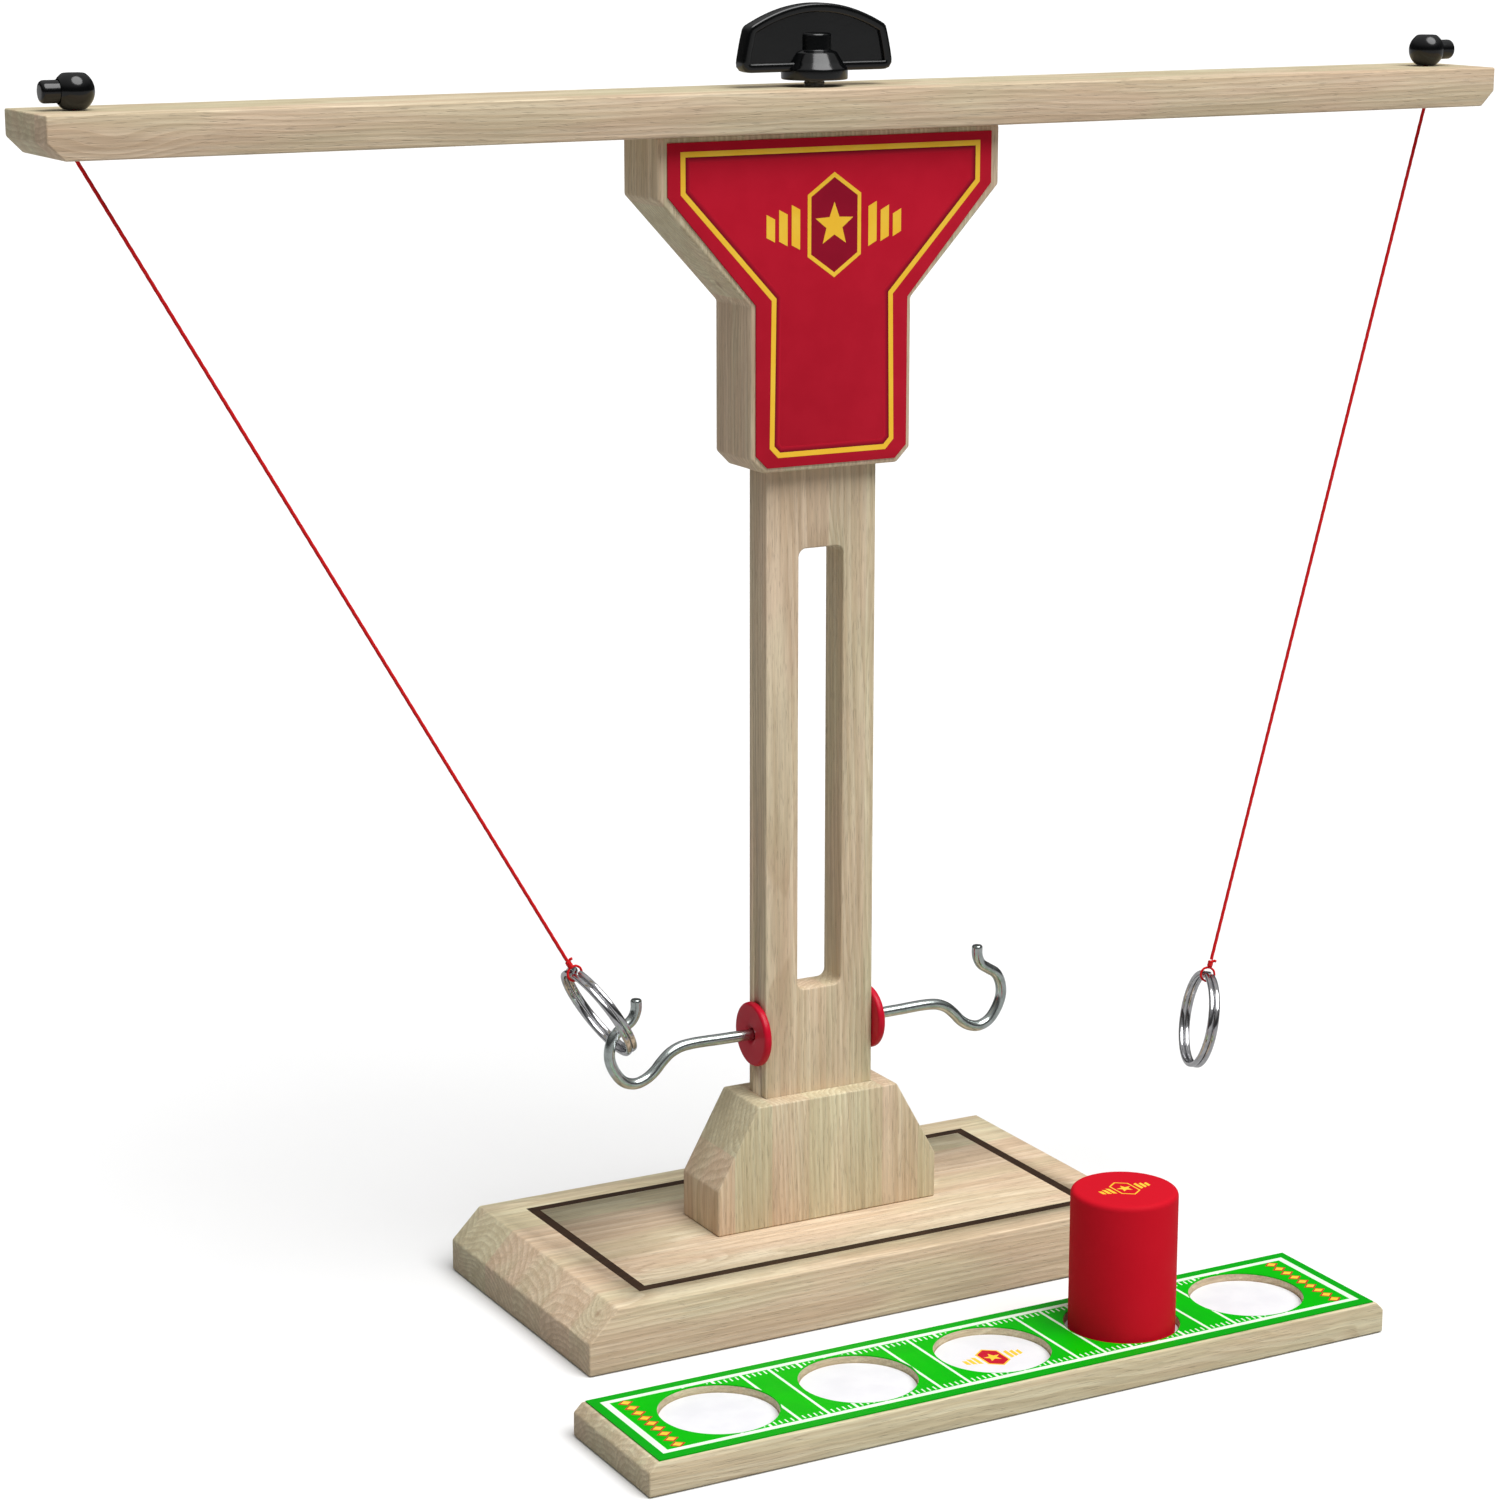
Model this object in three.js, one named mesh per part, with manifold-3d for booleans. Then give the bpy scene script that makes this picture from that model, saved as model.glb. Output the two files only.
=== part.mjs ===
// Tabletop hook and ring game: a slotted post on a bevelled base carries a swivelling crossbar,
// two strings with steel rings, two bent wire hooks, and a scoring board with a marker.
// Millimetres, +Z up. The origin is on the table, under the middle of the post; X runs along the beam.

import * as THREE from 'three';
import { mergeVertices } from 'three/addons/utils/BufferGeometryUtils.js';
import Module from 'manifold-3d';

const wasm = await Module();
wasm.setup();

// ---------------------------------------------------------------- driving dimensions

const GAP = 0.3; // between pieces that touch or move in each other
const GLUE = 0.1; // between pieces that are glued face to face

const BASE = { length: 193.8, width: 94, thick: 18.6, bevel: 9.1 };
const INLAY = { length: 153, width: 75.6, line: 3.2, thick: 0.9, sunk: 0.9 };
const PEDESTAL = { length: 74.2, topLength: 47, depth: 22.3, shoulder: 32.6, top: 56.6 };
const POST = { width: 36, depth: 10.4, tenon: 24 };
const SLOT = { width: 14.6, bottom: 88.6, top: 220.5, corner: 2.4 };
const YOKE = { depth: 21, topHalf: 54.8, shoulder: 322.3, neckHalf: 26, neck: 291.5, bottom: 244.3,
  corner: 4.2 };
const FACE_PANEL = { topHalf: 52, top: 337.6, shoulder: 322.9, neckHalf: 24.5, neck: 291.8, bottom: 245.7,
  corner: 3.7, thick: 0.5 };
const BEAM = { length: 457.2, width: 34.2, bottom: 339.5, thick: 11.5, corner: 4.5 };

const BOLT_RADIUS = 3;
const KNOB = { halfTop: 21.9, halfBottom: 24.4, bottom: 355.2, side: 367.7, peak: 374, rim: 2.6, rimThick: 5,
  webThick: 2.6, collar: 9.4, collarBottom: 352.9, boss: 4.7, bossTop: 365.7 };

const STRING_RADIUS = 0.55;
const STRING_HOLE = 0.95;
const EXIT_X = 215.5; // where each string leaves the beam
const LOCK = { radius: 5.35, halfHeight: 4.55, bore: 3.25, boreDepth: 4, travel: 1.4 };
const PLUNGER = { radius: 2.95, outer: 9.1, inner: 1.7, slotWidth: 1.8 };
const SPRING = { radius: 2, wire: 0.16, turns: 2.6 };

const HOOK_Z = 75.5;
const HOOK_WIRE = 1.65;
const HOOK_WASHER = { radius: 9.6, thick: 2.4 };

const RING = { radius: 14.6, wire: 0.75, pitch: 1.8 };
const LEFT_RING_TOP = new THREE.Vector3(-77.6, 0, 102.6);
const LEFT_RING_LEAN = 31.1; // degrees from hanging straight down
const RIGHT_RING_TOP = new THREE.Vector3(143.8, 0, 70.3);
const RIGHT_RING_LEAN = -11;
const RIGHT_RING_TWIST = -19.7; // degrees about the string

const LADDER = { x: 0.4, y: -103, length: 237, width: 45.3, thick: 9.3, bevel: 2.5, pitch: 43.1,
  recess: 16.5, depth: 2.35, cups: 5 };
const FIELD_EDGE = 0.8; // bare wood round the printed panel
const SHEET = 0.35; // thickness of the printed panel and the cup discs
const MARKER = { cup: 4, radius: 15.2, height: 42, edge: 1.6 };

const BEAM_TOP = BEAM.bottom + BEAM.thick;
const PIVOT_Z = BEAM.bottom - 1.2; // a string bends here, just under the beam
const DEGREE = Math.PI / 180;
const ROUND = 20; // sides of a small turned piece

// ---------------------------------------------------------------- materials

function finish(color, roughness, metalness = 0) {
  return new THREE.MeshStandardMaterial({ color, roughness, metalness });
}

const WOOD = finish(0xd0b48c, 0.62);
const DARK_WOOD = finish(0x4a3626, 0.6);
const ZINC = finish(0xb4b9bd, 0.32, 1);
const POLISHED = finish(0xd5d8da, 0.12, 1);
const BRASS = finish(0xc9a45a, 0.35, 1);
const BLACK_PLASTIC = finish(0x08090a, 0.22);
const RED_PLASTIC = finish(0xa31a2c, 0.3);
const RED_STRING = finish(0xc01018, 0.75);
const RED_PRINT = finish(0xa81e2d, 0.5);
const GREEN_PRINT = finish(0x00b818, 0.5);
const WHITE_SHEET = finish(0xf4f4f2, 0.55);
const RED_PAINT = finish(0xab1822, 0.55);

// ---------------------------------------------------------------- solids

// A closed mesh with shared corners, no empty triangles, and faces that point out.
function closed(geometry) {
  const bare = geometry.clone();
  bare.deleteAttribute('normal');
  bare.deleteAttribute('uv');
  const merged = mergeVertices(bare, 1e-4);
  const place = merged.attributes.position;
  const index = merged.index.array;
  const corner = [new THREE.Vector3(), new THREE.Vector3(), new THREE.Vector3()];
  const kept = [];
  let volume = 0;
  for (let i = 0; i < index.length; i += 3) {
    const [a, b, c] = [index[i], index[i + 1], index[i + 2]];
    if (a === b || b === c || a === c) continue;
    kept.push(a, b, c);
    corner.forEach((point, k) => point.fromBufferAttribute(place, [a, b, c][k]));
    volume += corner[0].dot(corner[1].cross(corner[2]));
  }
  if (volume < 0) kept.reverse();
  merged.setIndex(kept);
  return merged;
}

function solid(geometry) {
  const ready = closed(geometry);
  const mesh = new wasm.Mesh({
    numProp: 3,
    vertProperties: new Float32Array(ready.attributes.position.array),
    triVerts: new Uint32Array(ready.index.array),
  });
  return new wasm.Manifold(mesh);
}

function surface(body) {
  const mesh = body.getMesh();
  const geometry = new THREE.BufferGeometry();
  geometry.setAttribute('position', new THREE.BufferAttribute(new Float32Array(mesh.vertProperties), 3));
  geometry.setIndex(Array.from(mesh.triVerts));
  return geometry;
}

// The first geometry with the others cut away.
function cut(whole, ...tools) {
  return surface(tools.reduce((body, tool) => body.subtract(solid(tool)), solid(whole)));
}

function join(first, ...others) {
  return surface(others.reduce((body, other) => body.add(solid(other)), solid(first)));
}

function common(first, second) {
  return surface(solid(first).intersect(solid(second)));
}

function outline(points) {
  return new THREE.Shape(points.map(([x, y]) => new THREE.Vector2(x, y)));
}

// An outline drawn in X and Z, as thick as depth along Y and centred on Y = 0.
function upright(shape, depth, curveSegments = 8) {
  const geometry = new THREE.ExtrudeGeometry(shape, { depth, bevelEnabled: false, curveSegments });
  return geometry.rotateX(Math.PI / 2).translate(0, depth / 2, 0);
}

// An outline drawn in X and Y, standing from low to low + thick.
function flat(shape, low, thick, curveSegments = 16) {
  const geometry = new THREE.ExtrudeGeometry(shape, { depth: thick, bevelEnabled: false, curveSegments });
  return geometry.translate(0, 0, low);
}

function box(x, y, z, low, at = [0, 0]) {
  return new THREE.BoxGeometry(x, y, z).translate(at[0], at[1], low + z / 2);
}

// A profile of [radius, height] points turned about +Z.
function turned(profile, sides = ROUND) {
  const points = profile.map(([radius, height]) => new THREE.Vector2(radius, height));
  return new THREE.LatheGeometry(points, sides).rotateX(Math.PI / 2);
}

// The same, turned about the X axis, with heights running along side * X.
function turnedAcross(profile, side, sides = ROUND) {
  return turned(profile, sides).rotateY((side * Math.PI) / 2);
}

function rod(radius, low, high, sides = ROUND) {
  return turned([[0, low], [radius, low], [radius, high], [0, high]], sides);
}

function wire(curve, radius, steps, sides) {
  const points = [];
  for (let i = 0; i < sides; i += 1) {
    const angle = (2 * Math.PI * i) / sides;
    points.push([radius * Math.cos(angle), radius * Math.sin(angle)]);
  }
  return new THREE.ExtrudeGeometry(outline(points), { steps, extrudePath: curve });
}

function named(name, geometry, material) {
  const mesh = new THREE.Mesh(closed(geometry), material);
  mesh.name = name;
  return mesh;
}

function sideName(side) {
  return side < 0 ? 'left' : 'right';
}

// ---------------------------------------------------------------- stand

const SCREW = { head: 3.8, core: 1.4, thread: 1.9, pitch: 3, sunk: 0.5 };
const SCREW_PLACES = [-1, 1].flatMap((side) => [
  { name: `pedestal_screw_${sideName(side)}`, x: side * 27.5, tip: 37 },
  { name: `post_screw_${sideName(side)}`, x: side * 9, tip: 50 },
]);

function screw(place) {
  const profile = [[0, SCREW.sunk], [SCREW.head, SCREW.sunk], [SCREW.core, SCREW.sunk + 2.6]];
  for (let z = SCREW.sunk + 10; z < place.tip - 3; z += SCREW.pitch) {
    profile.push([SCREW.core, z], [SCREW.thread, z + SCREW.pitch / 2]);
  }
  profile.push([SCREW.core, place.tip - 2.5], [0, place.tip]);
  const slot = box(5, 1.1, 2.2, SCREW.sunk - 1);
  const crossSlot = box(1.1, 5, 2.2, SCREW.sunk - 1);
  return cut(turned(profile, 10), slot, crossSlot).translate(place.x, 0, 0);
}

function screwHole(place) {
  const wide = SCREW.thread + GAP;
  const mouth = SCREW.head + GAP;
  const profile = [[0, -1], [mouth, -1], [mouth, SCREW.sunk + GAP], [wide, SCREW.sunk + 2.6 + GAP]];
  profile.push([wide, place.tip + 0.5], [0, place.tip + 0.5]);
  return turned(profile, 12).translate(place.x, 0, 0);
}

function frameOutline(length, width, line) {
  const x = length / 2;
  const y = width / 2;
  const shape = outline([[-x, -y], [x, -y], [x, y], [-x, y]]);
  const inner = [[line - x, line - y], [line - x, y - line], [x - line, y - line], [x - line, line - y]];
  shape.holes.push(new THREE.Path(inner.map(([u, v]) => new THREE.Vector2(u, v))));
  return shape;
}

function bevelledBoard({ length, width, thick, bevel }) {
  const x = length / 2;
  return upright(outline([[-x, 0], [x, 0], [x, thick - bevel], [x - bevel, thick], [bevel - x, thick],
    [-x, thick - bevel]]), width);
}

function baseBoard() {
  const groove = flat(frameOutline(INLAY.length, INLAY.width, INLAY.line), BASE.thick - INLAY.sunk, 2);
  return cut(bevelledBoard(BASE), groove, ...SCREW_PLACES.map(screwHole));
}

function borderInlay() {
  const ring = frameOutline(INLAY.length - 2 * GLUE, INLAY.width - 2 * GLUE, INLAY.line - 2 * GLUE);
  return flat(ring, BASE.thick - INLAY.sunk + GLUE, INLAY.thick - GLUE);
}

function pedestalBlock() {
  const low = BASE.thick + GLUE;
  const [x, top] = [PEDESTAL.length / 2, PEDESTAL.topLength / 2];
  const block = upright(outline([[-x, low], [x, low], [x, PEDESTAL.shoulder], [top, PEDESTAL.top],
    [-top, PEDESTAL.top], [-x, PEDESTAL.shoulder]]), PEDESTAL.depth);
  const mortise = box(POST.width + 2 * GLUE, POST.depth + 2 * GLUE, 60, 0);
  return cut(block, mortise, ...SCREW_PLACES.map(screwHole));
}

function roundedRectangle(x0, x1, y0, y1, corner) {
  const shape = new THREE.Shape();
  shape.moveTo(x0 + corner, y0);
  shape.lineTo(x1 - corner, y0);
  shape.absarc(x1 - corner, y0 + corner, corner, -Math.PI / 2, 0);
  shape.absarc(x1 - corner, y1 - corner, corner, 0, Math.PI / 2);
  shape.absarc(x0 + corner, y1 - corner, corner, Math.PI / 2, Math.PI);
  shape.absarc(x0 + corner, y0 + corner, corner, Math.PI, 1.5 * Math.PI);
  return shape;
}

const HOOK_THREAD = { deep: 13, core: 1.3, crest: 1.65, pitch: 2.4 };

function hookHole(side) {
  const profile = [[0, 0], [HOOK_THREAD.crest + GAP, 0], [HOOK_THREAD.crest + GAP, 30], [0, 30]];
  const start = POST.width / 2 - HOOK_THREAD.deep - 0.5;
  return turnedAcross(profile, side, 12).translate(side * start, 0, HOOK_Z);
}

function post() {
  const low = BASE.thick + GLUE;
  const height = YOKE.bottom + POST.tenon - low;
  const x = SLOT.width / 2;
  const slot = upright(roundedRectangle(-x, x, SLOT.bottom, SLOT.top, SLOT.corner), 20, 4);
  return cut(box(POST.width, POST.depth, height, low), slot, hookHole(-1), hookHole(1),
    ...SCREW_PLACES.map(screwHole));
}

function yokeOutline({ topHalf, shoulder, neckHalf, neck, bottom, corner }, top) {
  const right = [[neckHalf - corner, bottom], [neckHalf, bottom + corner], [neckHalf, neck],
    [topHalf, shoulder], [topHalf, top]];
  const left = right.map(([x, z]) => [-x, z]).reverse();
  return outline([...right, ...left]);
}

function yokeBlock() {
  const block = upright(yokeOutline(YOKE, BEAM.bottom - GAP), YOKE.depth);
  const mortise = box(POST.width + 2 * GLUE, POST.depth + 2 * GLUE, POST.tenon + 10 + GLUE, YOKE.bottom - 10);
  return cut(block, mortise, rod(BOLT_RADIUS + GAP, BEAM.bottom - 26, BEAM.bottom + 5));
}

function yokePanel() {
  const sheet = upright(yokeOutline(FACE_PANEL, FACE_PANEL.top), FACE_PANEL.thick);
  return sheet.translate(0, -(YOKE.depth + FACE_PANEL.thick) / 2 - GLUE / 2, 0);
}

function hangerBolt() {
  const low = BEAM.bottom - 25.5;
  const profile = [[0, low], [BOLT_RADIUS - 0.6, low + 3]];
  for (let z = low + 4; z < BEAM.bottom - 6; z += 2.4) {
    profile.push([BOLT_RADIUS - 0.7, z], [BOLT_RADIUS, z + 1.2]);
  }
  profile.push([BOLT_RADIUS - 0.3, BEAM.bottom - 4], [BOLT_RADIUS - 0.3, KNOB.bossTop - 4.5]);
  profile.push([BOLT_RADIUS - 0.8, KNOB.bossTop - 4], [0, KNOB.bossTop - 4]);
  return turned(profile, 16);
}

// The hook's centre line outside the post: out along the shaft, down into the bowl, and up to the tip.
const HOOK_LINE = [[20, 75.5], [30, 75.6], [40, 75.7], [44, 75.2], [47.2, 73.8], [49.8, 71.6], [52.3, 69],
  [55.2, 67.1], [58.6, 66.3], [62.2, 67.5], [65.1, 70.9], [66.7, 75.2], [66.3, 79.3], [64.7, 82.2],
  [61.9, 84.1], [59.4, 85.9], [58.1, 88.6], [58, 91.9]];

function hook(side) {
  const points = HOOK_LINE.map(([x, z]) => new THREE.Vector3(side * x, 0, z));
  const bent = wire(new THREE.CatmullRomCurve3(points, false, 'centripetal'), HOOK_WIRE, 38, 8);
  const { deep, core, crest, pitch } = HOOK_THREAD;
  const profile = [[0, -deep], [core, 1.5 - deep]];
  for (let along = 2 - deep; along < -1; along += pitch) {
    profile.push([core, along], [crest, along + pitch / 2]);
  }
  profile.push([core, 0], [HOOK_WIRE, 0.6], [HOOK_WIRE, 3], [0, 3]);
  const thread = turnedAcross(profile, side, 8).translate((side * POST.width) / 2, 0, HOOK_Z);
  return join(bent, thread);
}

function hookWasher(side) {
  const { radius, thick } = HOOK_WASHER;
  const hole = HOOK_WIRE + GAP;
  const profile = [[hole, 0], [radius - 1.1, 0], [radius - 0.3, 0.4], [radius, thick / 2],
    [radius - 0.3, thick - 0.4], [radius - 1.1, thick], [hole + 0.5, thick - 0.15], [hole, thick - 0.5],
    [hole, 0]];
  return turnedAcross(profile, side, 24).translate(side * (POST.width / 2 + GLUE), 0, HOOK_Z);
}

// ---------------------------------------------------------------- beam, knob and cord locks

function beam() {
  const [x, low, top] = [BEAM.length / 2, BEAM.bottom, BEAM_TOP];
  const bar = upright(outline([[BEAM.corner - x, low], [x - BEAM.corner, low], [x, low + BEAM.corner],
    [x, top], [-x, top], [-x, low + BEAM.corner]]), BEAM.width);
  const holes = [-1, 1].map((side) => rod(STRING_HOLE, low - 5, top + 5, 12).translate(side * EXIT_X, 0, 0));
  return cut(bar, rod(BOLT_RADIUS + GAP, low - 5, top + 5), ...holes);
}

function knobOutline(inset) {
  const { halfTop, halfBottom, bottom, side, peak } = KNOB;
  const corner = 2.4 - inset / 2;
  const half = halfBottom - inset;
  const low = bottom + inset;
  const shape = new THREE.Shape();
  shape.moveTo(0.4 - half, low + corner);
  shape.quadraticCurveTo(0.6 - half, low, corner + 0.6 - half, low);
  shape.lineTo(half - corner - 0.6, low);
  shape.quadraticCurveTo(half - 0.6, low, half - 0.4, low + corner);
  shape.lineTo(halfTop - inset, side - inset / 2);
  shape.quadraticCurveTo(halfTop / 2, peak - inset, 0, peak - inset);
  shape.quadraticCurveTo(-halfTop / 2, peak - inset, inset - halfTop, side - inset / 2);
  shape.closePath();
  return shape;
}

function wingKnob() {
  const blade = upright(knobOutline(0), KNOB.rimThick);
  const pocket = (KNOB.rimThick - KNOB.webThick) / 2;
  const offset = (KNOB.webThick + pocket) / 2;
  const pockets = [-1, 1].map((side) => {
    const pocketSolid = upright(knobOutline(KNOB.rim), pocket + 1);
    return pocketSolid.translate(0, side * (offset + 0.5), 0);
  });
  const { collar, collarBottom, boss, bossTop } = KNOB;
  const hub = turned([[0, collarBottom], [collar, collarBottom], [collar, collarBottom + 3],
    [collar - 1.4, 357.6], [boss + 1.6, 360.4], [boss, 361], [boss, bossTop - 1.2], [boss - 1.2, bossTop],
    [0, bossTop]]);
  const bore = rod(INSERT.radius + GLUE, collarBottom - 5, INSERT.top + GLUE);
  return cut(join(cut(blade, ...pockets), hub), bore);
}

const INSERT = { radius: 3.9, bottom: KNOB.collarBottom + 0.1, top: 362.3 };

// A metal bush moulded into the knob; the bolt goes into it from below.
function knobInsert() {
  const { radius, bottom, top } = INSERT;
  const hole = BOLT_RADIUS + 0.1;
  return turned([[hole, bottom], [radius - 0.4, bottom], [radius, bottom + 0.4], [radius, top - 0.4],
    [radius - 0.4, top], [0, top], [0, top - 0.5], [hole, top - 0.5], [hole, bottom]]);
}

function lockCentre(side) {
  return [side * EXIT_X, 0, BEAM_TOP + GAP + LOCK.halfHeight];
}

function lockBarrel(side) {
  const ball = new THREE.SphereGeometry(LOCK.radius, 20, 12).rotateX(Math.PI / 2);
  const slab = box(20, 20, 2 * LOCK.halfHeight, -LOCK.halfHeight);
  const bore = turnedAcross([[0, -LOCK.boreDepth], [LOCK.bore, -LOCK.boreDepth], [LOCK.bore, 10], [0, 10]],
    side);
  const hole = rod(STRING_HOLE, -10, 10, 12);
  return cut(common(ball, slab), bore, hole).translate(...lockCentre(side));
}

function lockPlunger(side) {
  const { radius, outer, inner, slotWidth } = PLUNGER;
  const stem = turnedAcross([[0, -inner], [radius - 0.3, -inner], [radius, 0.3 - inner],
    [radius, outer - 1.1], [radius - 0.3, outer - 0.4], [radius - 1, outer], [0, outer]], side);
  const slotLength = 2 * (STRING_RADIUS + GAP) + LOCK.travel;
  const slot = box(slotLength, slotWidth, 20, -10, [(side * LOCK.travel) / 2, 0]);
  return cut(stem, slot).translate(...lockCentre(side));
}

function lockSpring(side) {
  const low = SPRING.wire + 0.1 - LOCK.boreDepth;
  const length = LOCK.boreDepth - PLUNGER.inner - 2 * SPRING.wire - 0.2;
  const points = [];
  for (let i = 0; i <= 40; i += 1) {
    const angle = (2 * Math.PI * SPRING.turns * i) / 40;
    points.push(new THREE.Vector3(side * (low + (length * i) / 40), SPRING.radius * Math.cos(angle),
      SPRING.radius * Math.sin(angle)));
  }
  return wire(new THREE.CatmullRomCurve3(points), SPRING.wire, 36, 5).translate(...lockCentre(side));
}

// ---------------------------------------------------------------- strings, knots and rings

const KNOT = { loop: 2.55, cord: 0.5, ball: 1.25, reach: 3.5 };

function stringStub(side) {
  const top = BEAM_TOP + GAP + 2 * LOCK.halfHeight - 0.2;
  return rod(STRING_RADIUS, PIVOT_Z + 0.9, top, 8).translate(side * EXIT_X, 0, 0);
}

function exitPoint(side) {
  return new THREE.Vector3(side * EXIT_X, 0, PIVOT_Z);
}

// From the beam down to the knot, which reaches a little way up from the middle of the ring's wire.
function hangingString(side, ringTop) {
  const start = exitPoint(side);
  const up = start.clone().sub(ringTop).normalize();
  const end = ringTop.clone().addScaledVector(up, KNOT.reach + KNOT.ball + 0.1);
  return wire(new THREE.LineCurve3(start, end), STRING_RADIUS, 12, 8);
}

// A loop round both turns of the ring, square to the ring's wire, with the knot above it.
// It is made with the string along +Z and the ring's wire along Y.
function knot() {
  const loop = new THREE.TorusGeometry(KNOT.loop, KNOT.cord, 6, 14).rotateX(Math.PI / 2);
  const ball = new THREE.SphereGeometry(KNOT.ball, 8, 6).scale(1, 1, 1.15).translate(0, 0, KNOT.reach);
  return join(loop, ball);
}

// Two turns of wire side by side. They change over, and end, at the top, inside the knot's loop.
class SplitRingLine extends THREE.Curve {
  getPoint(t, target = new THREE.Vector3()) {
    const angle = (7 + 706 * t) * DEGREE;
    const change = THREE.MathUtils.smoothstep(t, 0.491, 0.509) - 0.5;
    const drop = RING.radius * (Math.cos(angle) - 1);
    return target.set(change * RING.pitch, RING.radius * Math.sin(angle), drop);
  }
}

function splitRing() {
  return wire(new SplitRingLine(), RING.wire, 160, 6);
}

// The string's own direction from vertical, in degrees: positive when the low end is nearer +X.
function lean(side, ringTop) {
  const start = exitPoint(side);
  return Math.atan2(ringTop.x - start.x, start.z - ringTop.z) / DEGREE;
}

function placed(mesh, at, leanDegrees, twistDegrees = 0) {
  mesh.position.copy(at);
  mesh.rotation.order = 'YZX';
  mesh.rotation.y = -leanDegrees * DEGREE;
  mesh.rotation.z = twistDegrees * DEGREE;
  return mesh;
}

// ---------------------------------------------------------------- scoring board

function cupCentre(number) {
  return [LADDER.x + (number - (LADDER.cups + 1) / 2) * LADDER.pitch, LADDER.y];
}

function cupNumbers() {
  return Array.from({ length: LADDER.cups }, (_, i) => i + 1);
}

function ladderBoard() {
  const board = bevelledBoard(LADDER).translate(LADDER.x, LADDER.y, 0);
  const floor = LADDER.thick - LADDER.depth;
  const recess = (number) => rod(LADDER.recess, floor, 20, 32).translate(...cupCentre(number), 0);
  return cut(board, ...cupNumbers().map(recess));
}

function fieldPanel() {
  const [x, y] = [LADDER.length / 2 - LADDER.bevel - FIELD_EDGE, LADDER.width / 2 - FIELD_EDGE];
  const shape = outline([[LADDER.x - x, LADDER.y - y], [LADDER.x + x, LADDER.y - y],
    [LADDER.x + x, LADDER.y + y], [LADDER.x - x, LADDER.y + y]]);
  for (const number of cupNumbers()) {
    const hole = new THREE.Path();
    hole.absarc(...cupCentre(number), LADDER.recess + 0.05, 0, 2 * Math.PI, true);
    shape.holes.push(hole);
  }
  return flat(shape, LADDER.thick + GLUE / 2, SHEET, 32);
}

function cupDisc(number) {
  const floor = LADDER.thick - LADDER.depth;
  return rod(LADDER.recess - GAP, floor + GLUE, floor + GLUE + SHEET, 32).translate(...cupCentre(number), 0);
}

function scoreMarker() {
  const low = LADDER.thick - LADDER.depth + GLUE + SHEET + 0.1;
  const { radius, height, edge } = MARKER;
  const top = low + height;
  const profile = [[0, low], [radius - 0.4, low], [radius, low + 0.4]];
  for (let angle = 0; angle <= 90; angle += 22.5) {
    const [out, up] = [Math.cos(angle * DEGREE), Math.sin(angle * DEGREE)];
    profile.push([radius - edge * (1 - out), top - edge * (1 - up)]);
  }
  profile.push([0, top]);
  return turned(profile, 32).translate(...cupCentre(MARKER.cup), 0);
}

// ---------------------------------------------------------------- assembly

const game = new THREE.Group();

game.add(
  named('base_board', baseBoard(), WOOD),
  named('border_inlay', borderInlay(), DARK_WOOD),
  named('pedestal_block', pedestalBlock(), WOOD),
  named('post', post(), WOOD),
  named('yoke_block', yokeBlock(), WOOD),
  named('yoke_panel', yokePanel(), RED_PRINT),
  named('hanger_bolt', hangerBolt(), ZINC),
  named('beam', beam(), WOOD),
  named('wing_knob', wingKnob(), BLACK_PLASTIC),
  named('knob_insert', knobInsert(), BRASS),
  named('ladder_board', ladderBoard(), WOOD),
  named('field_panel', fieldPanel(), GREEN_PRINT),
  named('score_marker', scoreMarker(), RED_PAINT),
);

for (const place of SCREW_PLACES) {
  game.add(named(place.name, screw(place), ZINC));
}

for (const side of [-1, 1]) {
  const name = sideName(side);
  game.add(
    named(`hook_${name}`, hook(side), ZINC),
    named(`hook_washer_${name}`, hookWasher(side), RED_PLASTIC),
    named(`lock_barrel_${name}`, lockBarrel(side), BLACK_PLASTIC),
    named(`lock_plunger_${name}`, lockPlunger(side), BLACK_PLASTIC),
    named(`lock_spring_${name}`, lockSpring(side), ZINC),
    named(`string_stub_${name}`, stringStub(side), RED_STRING),
  );
}

for (const [side, top, ringLean, twist] of [
  [-1, LEFT_RING_TOP, LEFT_RING_LEAN, 0],
  [1, RIGHT_RING_TOP, RIGHT_RING_LEAN, RIGHT_RING_TWIST],
]) {
  const name = sideName(side);
  game.add(
    named(`string_${name}`, hangingString(side, top), RED_STRING),
    placed(named(`knot_${name}`, knot(), RED_STRING), top, lean(side, top), twist),
    placed(named(`ring_${name}`, splitRing(), POLISHED), top, ringLean, twist),
  );
}

for (const number of cupNumbers()) {
  game.add(named(`cup_disc_${number}`, cupDisc(number), WHITE_SHEET));
}

export default game;
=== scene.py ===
"""The looks of a tabletop hook and ring game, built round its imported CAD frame.

Lengths are in millimetres and become metres through MM. X runs along the beam, -Y is the front, +Z is up.
"""
import math

import bmesh
import bpy
from mathutils import Matrix, Vector


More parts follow.
